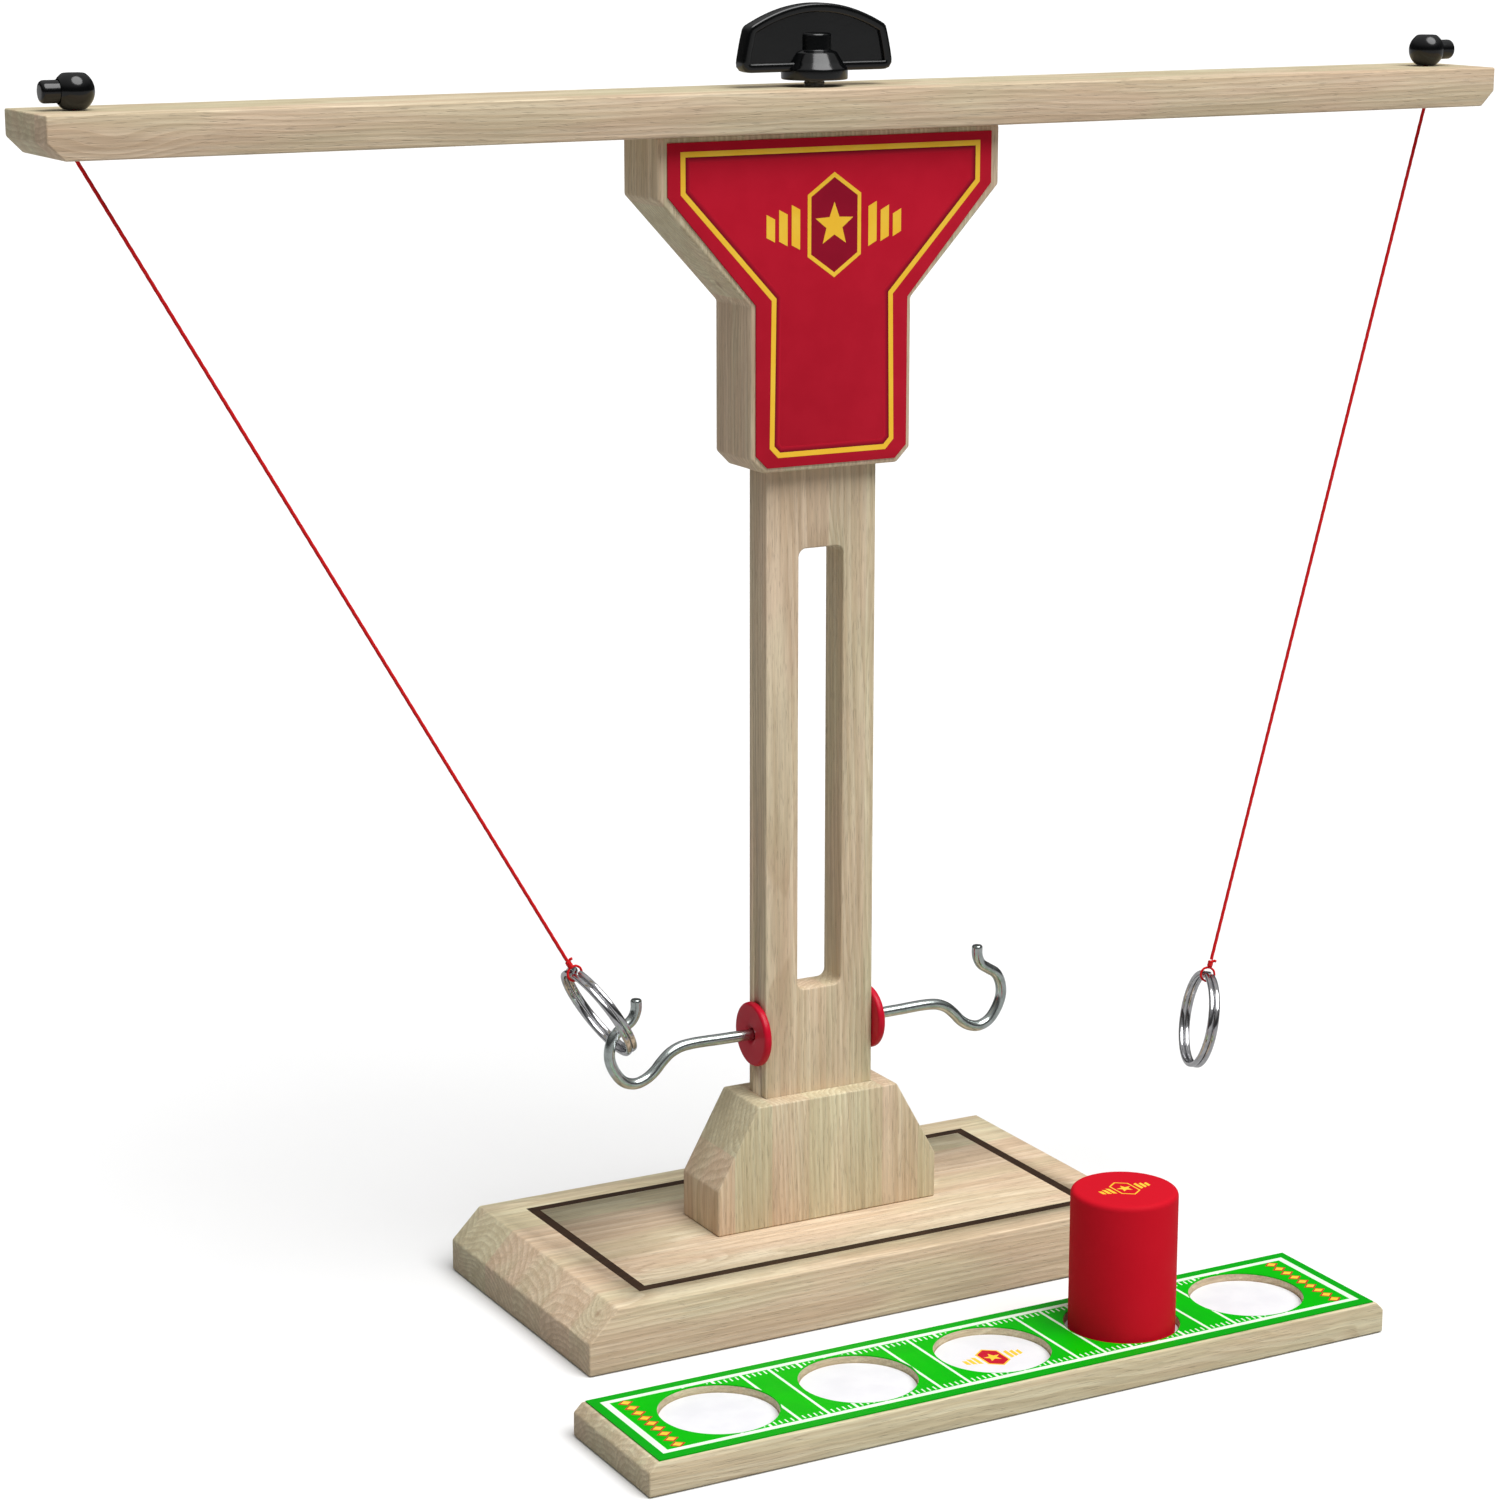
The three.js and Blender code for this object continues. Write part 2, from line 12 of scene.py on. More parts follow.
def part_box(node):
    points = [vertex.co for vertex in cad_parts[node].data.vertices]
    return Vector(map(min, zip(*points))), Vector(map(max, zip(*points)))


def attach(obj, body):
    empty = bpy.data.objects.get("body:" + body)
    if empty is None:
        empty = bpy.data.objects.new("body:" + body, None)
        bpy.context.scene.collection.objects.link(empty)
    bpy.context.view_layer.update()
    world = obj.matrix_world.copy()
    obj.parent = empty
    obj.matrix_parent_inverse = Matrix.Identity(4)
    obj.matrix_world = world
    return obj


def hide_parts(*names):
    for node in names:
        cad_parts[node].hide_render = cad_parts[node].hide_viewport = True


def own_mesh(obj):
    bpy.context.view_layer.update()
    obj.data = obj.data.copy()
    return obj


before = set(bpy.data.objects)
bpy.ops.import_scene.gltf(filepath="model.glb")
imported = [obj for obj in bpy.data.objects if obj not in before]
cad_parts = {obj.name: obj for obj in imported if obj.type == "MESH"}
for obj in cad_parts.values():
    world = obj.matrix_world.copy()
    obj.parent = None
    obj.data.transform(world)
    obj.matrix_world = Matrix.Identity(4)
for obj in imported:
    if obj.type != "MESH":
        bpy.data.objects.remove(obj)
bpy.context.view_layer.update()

MM = 0.001
SIDES = {"left": -1, "right": 1}


def node_box(node):
    """A CAD node's lowest and highest corner, in millimetres."""
    low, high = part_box(node)
    return low / MM, high / MM


# ---------------------------------------------------------------- camera and cords

# Fitted to the photograph's corners: degrees, millimetres, and a lens for a 36 mm sensor.
CAMERA = {"azimuth": -28.42, "elevation": 13.46, "distance": 1021.13, "target": (-50.07, -54.02, 176.56),
          "lens": 89.953}


def linked(name, data):
    """A new object, in the scene."""
    made = bpy.data.objects.new(name, data)
    bpy.context.scene.collection.objects.link(made)
    return made


def make_camera():
    azimuth, elevation = math.radians(CAMERA["azimuth"]), math.radians(CAMERA["elevation"])
    level = math.cos(elevation)
    back = Vector((math.sin(azimuth) * level, -math.cos(azimuth) * level, math.sin(elevation)))
    data = bpy.data.cameras.new("camera")
    data.sensor_fit = "HORIZONTAL"
    data.lens = CAMERA["lens"]
    camera = linked("camera", data)
    camera.location = (Vector(CAMERA["target"]) + back * CAMERA["distance"]) * MM
    camera.rotation_mode = "QUATERNION"
    camera.rotation_quaternion = (-back).to_track_quat("-Z", "Y")
    bpy.context.scene.camera = camera


def mesh_object(name, vertices, faces, smooth_below=35):
    """A mesh from points in millimetres. Edges flatter than the angle are shaded smooth."""
    mesh = bpy.data.meshes.new(name)
    mesh.from_pydata([Vector(v) * MM for v in vertices], [], faces)
    piece = linked(name, mesh)
    tidy_mesh(piece, smooth_below)
    return piece


def shade(piece, smooth_below=35):
    """Shades edges flatter than the angle smooth, and the others sharp."""
    piece.data.polygons.foreach_set("use_smooth", [True] * len(piece.data.polygons))
    piece.data.set_sharp_from_angle(angle=math.radians(smooth_below))


def tidy_mesh(piece, smooth_below=35):
    form = bmesh.new()
    form.from_mesh(piece.data)
    bmesh.ops.remove_doubles(form, verts=form.verts, dist=1e-7)
    bmesh.ops.recalc_face_normals(form, faces=form.faces)
    form.to_mesh(piece.data)
    form.free()
    shade(piece, smooth_below)


def skin(name, sections, closed=False, smooth_below=35):
    """A skin over sections, which are rings of points. Open ends get a flat cap."""
    count = len(sections[0])
    vertices = [point for section in sections for point in section]
    faces = []
    rows = len(sections) if closed else len(sections) - 1
    for row in range(rows):
        here, there = row * count, (row + 1) % len(sections) * count
        for i in range(count):
            j = (i + 1) % count
            faces.append((here + i, here + j, there + j, there + i))
    if not closed:
        faces.append(tuple(range(count)))
        faces.append(tuple(range(len(vertices) - count, len(vertices))))
    return mesh_object(name, vertices, faces, smooth_below)


def round_sections(centres, radius, sides, closed=False):
    """Round sections along a line. radius is a number, or a function of a section's number and the angle."""
    size = radius if callable(radius) else lambda row, angle: radius
    last = len(centres) - 1
    across = None
    sections = []
    for row, centre in enumerate(centres):
        before = centres[row - 1] if row or closed else centre
        after = centres[(row + 1) % len(centres)] if row < last or closed else centre
        ahead = (after - before).normalized()
        across = ahead.orthogonal() if across is None else across - ahead * across.dot(ahead)
        across.normalize()
        up = ahead.cross(across)
        angles = [2 * math.pi * i / sides for i in range(sides)]
        sections.append([centre + (across * math.cos(a) + up * math.sin(a)) * size(row, a) for a in angles])
    return sections


STRING = {"radius": 0.55, "step": 0.45, "sides": 12, "strands": 3, "twist": 3.4, "lobe": 0.04}
EXIT_X = 215.5  # where the strings leave the beam
EXIT = {side: Vector((sign * EXIT_X, 0, 338.3)) for side, sign in SIDES.items()}
RING_TOP = {"left": Vector((-77.6, 0, 102.6)), "right": Vector((143.8, 0, 70.3))}
KNOT_LENGTH = 4.85  # from the middle of the ring's wire to the end of the plain string


def string_route(side):
    """The two ends of a taut string, from under the beam to its knot."""
    up = (EXIT[side] - RING_TOP[side]).normalized()
    return [EXIT[side], RING_TOP[side] + up * KNOT_LENGTH]


def make_string(side):
    """A cord of three strands laid round each other, pulled straight by its ring."""
    start, end = string_route(side)
    steps = round((end - start).length / STRING["step"])
    line = [start.lerp(end, i / steps) for i in range(steps + 1)]

    def strand(row, angle):
        turn = 2 * math.pi * row * STRING["step"] / STRING["twist"]
        return STRING["radius"] * (1 - STRING["lobe"] * (1 - math.cos(STRING["strands"] * angle - turn)))

    cord = skin(f"string_{side}_cord", round_sections(line, strand, STRING["sides"]), smooth_below=60)
    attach(cord, f"string_{side}")
    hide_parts(f"string_{side}")
    return cord


make_camera()
STRINGS = {side: make_string(side) for side in SIDES}

# ---------------------------------------------------------------- materials


class Graph:
    """One material, with short ways to add shader nodes to it."""

    def __init__(self, name, **fixed):
        self.material = bpy.data.materials.new(name)
        self.material.use_nodes = True
        self.tree = self.material.node_tree
        self.tree.nodes.clear()
        self.shader = self.node("ShaderNodeBsdfPrincipled")
        out = self.node("ShaderNodeOutputMaterial")
        self.tree.links.new(self.shader.outputs[0], out.inputs[0])
        for socket, value in fixed.items():
            self.shader.inputs[socket.replace("_", " ")].default_value = value

    def node(self, kind, **settings):
        made = self.tree.nodes.new(kind)
        for name, value in settings.items():
            setattr(made, name, value)
        return made

    def put(self, socket, value):
        if isinstance(value, bpy.types.NodeSocket):
            self.tree.links.new(value, socket)
        else:
            socket.default_value = value

    def math(self, operation, a, b=0.0, clamp=False):
        made = self.node("ShaderNodeMath", operation=operation, use_clamp=clamp)
        self.put(made.inputs[0], a)
        self.put(made.inputs[1], b)
        return made.outputs[0]

    def vector(self, operation, a, b=(0, 0, 0)):
        made = self.node("ShaderNodeVectorMath", operation=operation)
        self.put(made.inputs[0], a)
        self.put(made.inputs[1], b)
        return made.outputs[0]

    def between(self, value, low, high, to_low=0.0, to_high=1.0):
        """The value's place between low and high, as a smooth share of the way from to_low to to_high."""
        made = self.node("ShaderNodeMapRange", interpolation_type="SMOOTHSTEP")
        for socket, number in zip(made.inputs, (value, low, high, to_low, to_high)):
            self.put(socket, number)
        return made.outputs[0]

    def noise(self, place, stretch, detail=2.0, rough=0.5, colour=False):
        made = self.node("ShaderNodeTexNoise")
        self.put(made.inputs["Vector"], self.vector("MULTIPLY", place, stretch))
        self.put(made.inputs["Scale"], 1.0)
        self.put(made.inputs["Detail"], detail)
        self.put(made.inputs["Roughness"], rough)
        return made.outputs[1 if colour else 0]

    def mix(self, share, a, b, blend="MIX"):
        made = self.node("ShaderNodeMix", data_type="RGBA", blend_type=blend)
        self.put(made.inputs[0], share)
        self.put(made.inputs[6], rgba(a))
        self.put(made.inputs[7], rgba(b))
        return made.outputs[2]

    def place(self):
        """Millimetres in the object's own frame, which is the CAD frame at rest."""
        return self.vector("MULTIPLY", self.node("ShaderNodeTexCoord").outputs["Object"], (1 / MM,) * 3)

    def finish(self, colour=None, rough=None, height=None, deep=0.05):
        """Links the looks to the shader. deep is the bump's height in millimetres."""
        if colour is not None:
            self.put(self.shader.inputs["Base Color"], rgba(colour))
        if rough is not None:
            self.put(self.shader.inputs["Roughness"], rough)
        if height is not None:
            bump = self.node("ShaderNodeBump")
            bump.inputs["Distance"].default_value = deep * MM
            self.put(bump.inputs["Height"], height)
            self.put(self.shader.inputs["Normal"], bump.outputs[0])
        return self.material


def linear(red, green, blue):
    """A colour given as 0 to 255 screen values, as linear light."""
    def one(value):
        value /= 255
        return value / 12.92 if value <= 0.04045 else ((value + 0.055) / 1.055) ** 2.4
    return (one(red), one(green), one(blue), 1.0)


def rgba(value):
    return linear(*value) if isinstance(value, tuple) and len(value) == 3 else value


# Colours of early and late wood, tints of two kinds of strip, a knot's colour, and ring and strip widths.
WOOD_LOOK = {"pale": (226, 216, 193), "dark": (198, 182, 155), "pink": (255, 240, 232),
             "green": (249, 249, 236), "knot": (150, 118, 92), "ring": 1.7, "strip": 12.5}


def wood(name, grain, seed, bright=1.0, strip=None):
    """Pale laminated hardwood. grain is the axis that the fibres run along."""
    graph = Graph(name, Specular_IOR_Level=0.3)
    strip = strip or WOOD_LOOK["strip"]
    shift = (seed * 37.0, seed * 11.3, seed * 5.7)
    world = graph.node("ShaderNodeSeparateXYZ")
    graph.put(world.inputs[0], graph.place())
    order = {"X": (0, 1, 2), "Z": (2, 0, 1)}[grain]
    along, across, deep = (graph.math("ADD", world.outputs[i], move) for i, move in zip(order, shift))
    joint = graph.node("ShaderNodeCombineXYZ")
    for socket, value in zip(joint.inputs, (along, across, deep)):
        graph.put(socket, value)
    place = joint.outputs[0]

    # Each glued strip comes from another part of the tree.
    plank = graph.math("FLOOR", graph.math("DIVIDE", across, strip))
    chance = graph.node("ShaderNodeTexWhiteNoise", noise_dimensions="1D")
    graph.put(chance.inputs["W"], graph.math("ADD", plank, seed * 3.1))
    lot = graph.node("ShaderNodeSeparateXYZ")
    graph.put(lot.inputs[0], chance.outputs["Color"])
    heart, tint, tone = lot.outputs

    # A few knots push the year rings aside.
    cells = graph.node("ShaderNodeTexVoronoi", feature="F1")
    graph.put(cells.inputs["Vector"], graph.vector("MULTIPLY", place, (0.012, 0.034, 0.034)))
    cells.inputs["Scale"].default_value = 1.0
    swirl = graph.between(cells.outputs["Distance"], 0.02, 0.3, 1.0, 0.0)
    core = graph.between(cells.outputs["Distance"], 0.015, 0.055, 1.0, 0.0)

    # Year rings round a heart line that leans through the board, so they cut its faces in long arches.
    drift = graph.math("SUBTRACT", graph.noise(place, (0.009, 0.04, 0.04), 3), 0.5)
    wander = graph.math("MULTIPLY", drift, 13)
    side = graph.math("SUBTRACT", across, graph.math("MULTIPLY", graph.math("ADD", plank, 0.5), strip))
    side = graph.math("ADD", side, graph.math("MULTIPLY", graph.math("SUBTRACT", heart, 0.5), 44))
    side = graph.math("ADD", graph.math("ADD", side, wander), graph.math("MULTIPLY", along, 0.03))
    depth = graph.math("ADD", graph.math("MULTIPLY", wander, 0.7), graph.math("ADD", deep, 14 - shift[2]))
    square = graph.math("ADD", graph.math("MULTIPLY", side, side), graph.math("MULTIPLY", depth, depth))
    radius = graph.math("ADD", graph.math("SQRT", square), graph.math("MULTIPLY", swirl, 5.0))
    ring = graph.math("FRACT", graph.math("DIVIDE", radius, WOOD_LOOK["ring"]))
    late = graph.math("MULTIPLY", graph.between(ring, 0.1, 0.86), graph.between(ring, 0.9, 1.0, 1.0, 0.0))

    fibre = graph.noise(place, (0.05, 1.7, 1.7), 4, 0.65)
    streak = graph.noise(place, (0.01, 0.3, 0.3), 3, 0.6)
    cloud = graph.noise(place, (0.014, 0.07, 0.07), 2)
    pores = graph.between(graph.noise(place, (0.22, 3.6, 3.6), 1), 0.6, 0.74)

    colour = graph.mix(graph.math("MULTIPLY", late, 0.62), WOOD_LOOK["pale"], WOOD_LOOK["dark"])
    colour = graph.mix(graph.between(streak, 0.36, 0.66, 0.0, 0.62), colour, WOOD_LOOK["dark"])
    hue = graph.between(cloud, 0.36, 0.62, -0.25, 0.35)
    hue = graph.math("ADD", hue, graph.between(tint, 0.25, 0.75, 0.1, 0.9), clamp=True)
    colour = graph.mix(1.0, colour, graph.mix(hue, WOOD_LOOK["pink"], WOOD_LOOK["green"]), "MULTIPLY")
    shade = graph.math("ADD", graph.between(fibre, 0.3, 0.7, 0.84, 1.05), graph.math("MULTIPLY", tone, 0.09))
    # bright lightens the whole colour; above 1 it paints the highlight on the rounded edges.
    shade = graph.math("MULTIPLY", shade, graph.between(pores, 0.0, 1.0, bright, bright * 0.86))
    colour = graph.mix(1.0, colour, graph_grey(graph, shade), "MULTIPLY")
    colour = graph.mix(graph.math("MULTIPLY", core, 0.6), colour, WOOD_LOOK["knot"])
    height = graph.math("SUBTRACT", graph.math("ADD", fibre, graph.math("MULTIPLY", late, 0.3)), pores)
    return graph.finish(colour, graph.between(fibre, 0.2, 0.8, 0.5, 0.68), height, 0.07)


def graph_grey(graph, value):
    joined = graph.node("ShaderNodeCombineColor")
    for socket in joined.inputs[:3]:
        graph.put(socket, value)
    return joined.outputs[0]


def dark_wood():
    graph = Graph("dark_inlay_wood", Specular_IOR_Level=0.12)
    streak = graph.noise(graph.place(), (0.12, 1.6, 1.6), 3)
    colour = graph.mix(graph.between(streak, 0.3, 0.7), (44, 31, 22), (64, 46, 33))
    return graph.finish(colour, graph.between(streak, 0.3, 0.7, 0.5, 0.65), streak, 0.04)


def metal(name, colour, worn, rough, grain, deep):
    """Bare or plated metal: colour, tint of its dull patches, roughness, and how many marks it has per mm."""
    graph = Graph(name, Metallic=1.0)
    patch = graph.noise(graph.place(), (0.5, 0.5, 0.5), 3)
    marks = graph.noise(graph.place(), grain, 2, 0.6)
    shown = graph.mix(graph.between(patch, 0.35, 0.7, 0.0, 0.6), colour, worn)
    dull = graph.between(patch, 0.3, 0.7, rough * 0.8, rough * 1.25)
    dull = graph.math("ADD", dull, graph.math("MULTIPLY", marks, 0.04))
    return graph.finish(shown, dull, marks, deep)


def moulded(name, colour, lighter, rough, coat=0.0, deep=0.02, shine=0.5):
    """Moulded plastic or lacquer with a faint orange-peel skin and rubbed spots. shine is its reflection."""
    graph = Graph(name, Coat_Weight=coat, Coat_Roughness=0.12, Specular_IOR_Level=shine)
    skin = graph.noise(graph.place(), (0.7, 0.7, 0.7), 3)
    rubbed = graph.noise(graph.place(), (0.06, 0.06, 0.06), 4)
    shown = graph.mix(graph.between(rubbed, 0.45, 0.75, 0.0, 0.5), colour, lighter)
    return graph.finish(shown, graph.between(rubbed, 0.3, 0.7, rough * 0.85, rough * 1.2), skin, deep)


def ink(name, colour, second, rough=0.42):
    """Ink on a thin satin sheet: slight mottling and the sheet's fine tooth."""
    graph = Graph(name, Specular_IOR_Level=0.08)
    tooth = graph.noise(graph.place(), (5.0, 5.0, 5.0), 2)
    mottle = graph.noise(graph.place(), (0.12, 0.12, 0.12), 3)
    shown = graph.mix(graph.between(mottle, 0.3, 0.7), colour, second)
    return graph.finish(shown, graph.between(tooth, 0.3, 0.7, rough * 0.9, rough * 1.1), tooth, 0.008)


def painted_shadow_ink():
    """The painted soft shadow beside the border line: dark red that fades into the panel's red."""
    graph = Graph("panel_shadow_ink", Specular_IOR_Level=0.08)
    shade = graph.node("ShaderNodeAttribute", attribute_name="shade").outputs["Fac"]
    tooth = graph.noise(graph.place(), (5.0, 5.0, 5.0), 2)
    return graph.finish(graph.mix(shade, RED_INK, (96, 12, 30)), 0.42, tooth, 0.008)


def fabric(name, colour, shadow):
    """Fine synthetic cord: fibres run slantwise round each strand."""
    graph = Graph(name, Sheen_Weight=0.15, Sheen_Roughness=0.4, Specular_IOR_Level=0.2)
    fibres = graph.noise(graph.place(), (2.2, 5.0, 9.0), 3, 0.6)
    shown = graph.mix(graph.between(fibres, 0.3, 0.7), shadow, colour)
    return graph.finish(shown, 0.66, fibres, 0.05)


RED_INK = (197, 26, 49)
LOOKS = {
    "dark_inlay": dark_wood(),
    "zinc_steel": metal("zinc_plate", (196, 204, 202), (160, 168, 164), 0.2, (3.0, 3.0, 3.0), 0.01),
    "polished_steel": metal("nickel_plate", (204, 204, 206), (168, 168, 172), 0.09, (2.0, 2.0, 2.0), 0.006),
    "brass": metal("turned_brass", (214, 176, 104), (170, 132, 70), 0.3, (1.0, 1.0, 9.0), 0.02),
    "black_plastic": moulded("gloss_black", (4, 5, 6), (8, 9, 10), 0.16, 0.2, 0.01, 0.4),
    "red_plastic": moulded("gloss_red", (196, 16, 44), (204, 24, 52), 0.34, 0.08, 0.02, 0.16),
    "red_paint": moulded("red_lacquer", (204, 20, 38), (208, 24, 42), 0.6, 0.0, 0.03, 0.05),
    "red_cord": fabric("red_cord_fibre", (234, 20, 26), (196, 8, 14)),
    "red_print": ink("panel_red_ink", RED_INK, (192, 23, 46)),
    "yellow_print": ink("yellow_ink", (255, 208, 70), (254, 200, 58)),
    "white_print": ink("white_ink", (240, 252, 236), (228, 246, 226)),
    "white_sheet": ink("white_card", (234, 234, 237), (228, 228, 232), 0.5),
}


def dress(piece, *materials):
    piece.data.materials.clear()
    for material in materials:
        piece.data.materials.append(material)


def piece_of(piece, body, slot, look=None, *nodes):
    """Gives a new piece its body and its look, and hides the CAD nodes that it stands for. slot is not used.
    """
    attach(piece, body)
    if look is not None:
        dress(piece, look)
    if nodes:
        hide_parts(*nodes)
    return piece


# ---------------------------------------------------------------- shapes


def joined(name, parts):
    """One mesh object from several."""
    form = bmesh.new()
    for part in parts:
        form.from_mesh(part.data)
        bpy.data.objects.remove(part)
    mesh = bpy.data.meshes.new(name)
    form.to_mesh(mesh)
    form.free()
    return linked(name, mesh)


def carve(piece, *tools):
    """Cuts the tools away from the piece."""
    for tool in tools:
        modifier = piece.modifiers.new("carve", "BOOLEAN")
        modifier.operation = "DIFFERENCE"
        modifier.solver = "EXACT"
        modifier.object = tool
    view = bpy.context.evaluated_depsgraph_get()
    mesh = bpy.data.meshes.new_from_object(piece.evaluated_get(view))
    piece.modifiers.clear()
    piece.data = mesh
    for tool in tools:
        bpy.data.objects.remove(tool)
    tidy_mesh(piece)
    return piece


def softened(points, radius, steps=4, closed=False):
    """A polyline whose corners are eased by that radius. A point may carry its own radius third."""
    eased = []
    count = len(points)
    for i, point in enumerate(points):
        here = Vector(point[:2])
        reach = point[2] if len(point) > 2 else radius
        if reach == 0 or not closed and i in (0, count - 1):
            eased.append(tuple(here))
            continue
        before, after = Vector(points[i - 1][:2]), Vector(points[(i + 1) % count][:2])
        cut = min(reach, (before - here).length * 0.49, (after - here).length * 0.49)
        start = here + (before - here).normalized() * cut
        end = here + (after - here).normalized() * cut
        for step in range(steps + 1):
            t = step / steps
            eased.append(tuple(start * (1 - t) ** 2 + here * (2 * t * (1 - t)) + end * t * t))
    return eased


def turned(name, profile, at=(0, 0, 0), axis="Z", side=1, sides=72, hollow=False, smooth_below=35):
    """A profile of (radius, height) points turned about an axis through at. hollow closes the profile."""
    across = {"Z": Matrix.Identity(3), "X": Matrix.Rotation(math.pi / 2 * side, 3, "Y")}[axis]
    turns = [2 * math.pi * i / sides for i in range(sides)]
    rings = []
    for radius, height in profile:
        ring = [Vector((radius * math.cos(turn), radius * math.sin(turn), height)) for turn in turns]
        rings.append([across @ point + Vector(at) for point in ring])
    return skin(name, rings, hollow, smooth_below)


def plate(name, loops, low, thick, upright=False):
    """Flat loops, filled between each loop and the loops inside it.

    They lie in X and Y and grow up from the height low, or stand in X and Z and grow to -Y from low.
    """
    data = bpy.data.curves.new(name, "CURVE")
    data.dimensions = "2D"
    data.fill_mode = "BOTH"
    data.extrude = thick / 2 * MM
    for loop in loops:
        spline = data.splines.new("POLY")
        spline.points.add(len(loop) - 1)
        spline.use_cyclic_u = True
        for point, (u, v) in zip(spline.points, loop):
            point.co = (u * MM, v * MM, 0, 1)
    source = bpy.data.objects.new(name, data)
    mesh = bpy.data.meshes.new_from_object(source)
    bpy.data.objects.remove(source)
    bpy.data.curves.remove(data)
    if upright:
        stand = Matrix.Rotation(math.pi / 2, 4, "X")
        mesh.transform(Matrix.Translation((0, (low - thick / 2) * MM, 0)) @ stand)
    else:
        mesh.transform(Matrix.Translation((0, 0, (low + thick / 2) * MM)))
    piece = linked(name, mesh)
    tidy_mesh(piece)
    return piece


def from_node(node, name):
    """A copy of a CAD node's mesh with its flat faces made whole."""
    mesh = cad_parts[node].data.copy()
    mesh.name = name
    piece = linked(name, mesh)
    form = bmesh.new()
    form.from_mesh(mesh)
    bmesh.ops.remove_doubles(form, verts=form.verts, dist=1e-6)
    bmesh.ops.dissolve_limit(form, angle_limit=math.radians(0.5), verts=form.verts, edges=form.edges)
    form.to_mesh(mesh)
    form.free()
    return piece


def ease_edges(piece, radius, chosen, steps=3):
    """Rounds the sharp outer edges whose two ends are chosen. The rounded strips take the second material."""
    form = bmesh.new()
    form.from_mesh(piece.data)
    edges = []
    for edge in form.edges:
        sharp = len(edge.link_faces) == 2 and edge.calc_face_angle(0) > math.radians(25)
        if sharp and all(chosen(vertex.co / MM) for vertex in edge.verts):
            edges.append(edge)
    made = bmesh.ops.bevel(form, geom=edges, offset=radius * MM, offset_type="OFFSET", segments=steps,
                           profile=0.5, affect="EDGES", clamp_overlap=False)
    for face in made["faces"]:
        face.material_index = 1
    form.to_mesh(piece.data)
    form.free()
    tidy_mesh(piece, 50)


def scaled(loop, size, at=(0, 0)):
    return [(at[0] + u * size, at[1] + v * size) for u, v in loop]


def circle(radius, at=(0, 0), sides=128):
    turns = [2 * math.pi * i / sides for i in range(sides)]
    return [(at[0] + radius * math.cos(turn), at[1] + radius * math.sin(turn)) for turn in turns]


def rectangle(u0, u1, v0, v1):
    return [(u0, v0), (u1, v0), (u1, v1), (u0, v1)]


def inset(loop, distance):
    """A counter-clockwise loop moved inwards."""
    moved = []
    count = len(loop)
    for i in range(count):
        here = Vector(loop[i])
        back = (here - Vector(loop[i - 1])).normalized()
        ahead = (Vector(loop[(i + 1) % count]) - here).normalized()
        normal_back, normal_ahead = Vector((-back.y, back.x)), Vector((-ahead.y, ahead.x))
        middle = (normal_back + normal_ahead).normalized()
        moved.append(tuple(here + middle * distance / middle.dot(normal_ahead)))
    return moved


# ---------------------------------------------------------------- wooden pieces

EASE = 0.5  # the rounding of a sanded edge
EDGE_HIGHLIGHT = 1.1  # how much paler a rounded edge is painted, as a painted highlight
GLUE = 0.1  # the CAD's gap between glued pieces
CUPS = range(1, 6)


def wooden(node, name, body, grain, seed, ease=EASE, strip=None):
    """A sanded copy of a wooden CAD node. Each of them is a slab along Y, so its edges end on its Y faces."""
    piece = from_node(node, name)
    low, high = node_box(node)
    ease_edges(piece, ease, lambda point: min(abs(point.y - low.y), abs(point.y - high.y)) < 0.01)
    piece_of(piece, body, "wood", None, node)
    # The rounded edges take a paler copy of the wood: a painted highlight.
    dress(piece, wood(name + "_grain", grain, seed, strip=strip),
          wood(name + "_highlight_edge", grain, seed, EDGE_HIGHLIGHT, strip=strip))


INLAY_EDGES = (0.03, 3.17)  # the dark line's outer and inner edge, from the outer edge of its groove


def make_base():
    wooden("base_board", "base_board_wood", "stand", "X", 3, 0.55, strip=19.0)
    low, high = node_box("border_inlay")
    x0, x1, y0, y1 = low.x - GLUE, high.x + GLUE, low.y - GLUE, high.y + GLUE
    rings = [rectangle(x0 + d, x1 - d, y0 + d, y1 - d) for d in INLAY_EDGES]
    dark = plate("border_line", rings, low.z, high.z - low.z)
    piece_of(dark, "stand", "dark_inlay", LOOKS["dark_inlay"], "border_inlay")


LADDER = {"bevel": 2.5, "disc_gap": 0.3, "rim_gap": 0.35}


def make_ladder_board():
    low, high = node_box("ladder_board")
    bevel = LADDER["bevel"]
    outline = [(low.x, low.z), (high.x, low.z), (high.x, high.z - bevel), (high.x - bevel, high.z),
               (low.x + bevel, high.z), (low.x, high.z - bevel)]
    board = skin("ladder_board_wood", [[Vector((x, y, z)) for x, z in outline] for y in (low.y, high.y)])
    ease_edges(board, EASE, lambda point: True)
    tools = []
    for number in CUPS:
        disc_low, disc_high = node_box(f"cup_disc_{number}")
        middle = (disc_low + disc_high) / 2
        radius = (disc_high.x - disc_low.x) / 2 + LADDER["disc_gap"]
        foot = disc_low.z - GLUE
        profile = [(0, foot), (radius, foot), (radius, 20), (0, 20)]
        tools.append(turned(f"cutter_{number}", profile, (middle.x, middle.y, 0), sides=128))
    carve(board, *tools)
    shade(board, 50)
    piece_of(board, "ladder", "wood", None, "ladder_board")
    # The second material paints a highlight on the rounded edges.
    dress(board, wood("ladder_grain", "X", 6), wood("ladder_highlight_edge", "X", 6, EDGE_HIGHLIGHT))


make_base()
wooden("pedestal_block", "pedestal_wood", "stand", "Z", 5)
wooden("post", "post_wood", "stand", "Z", 2)
wooden("yoke_block", "yoke_wood", "stand", "Z", 8, 0.7)
wooden("beam", "beam_wood", "beam", "X", 4)
make_ladder_board()

# ---------------------------------------------------------------- printed panels

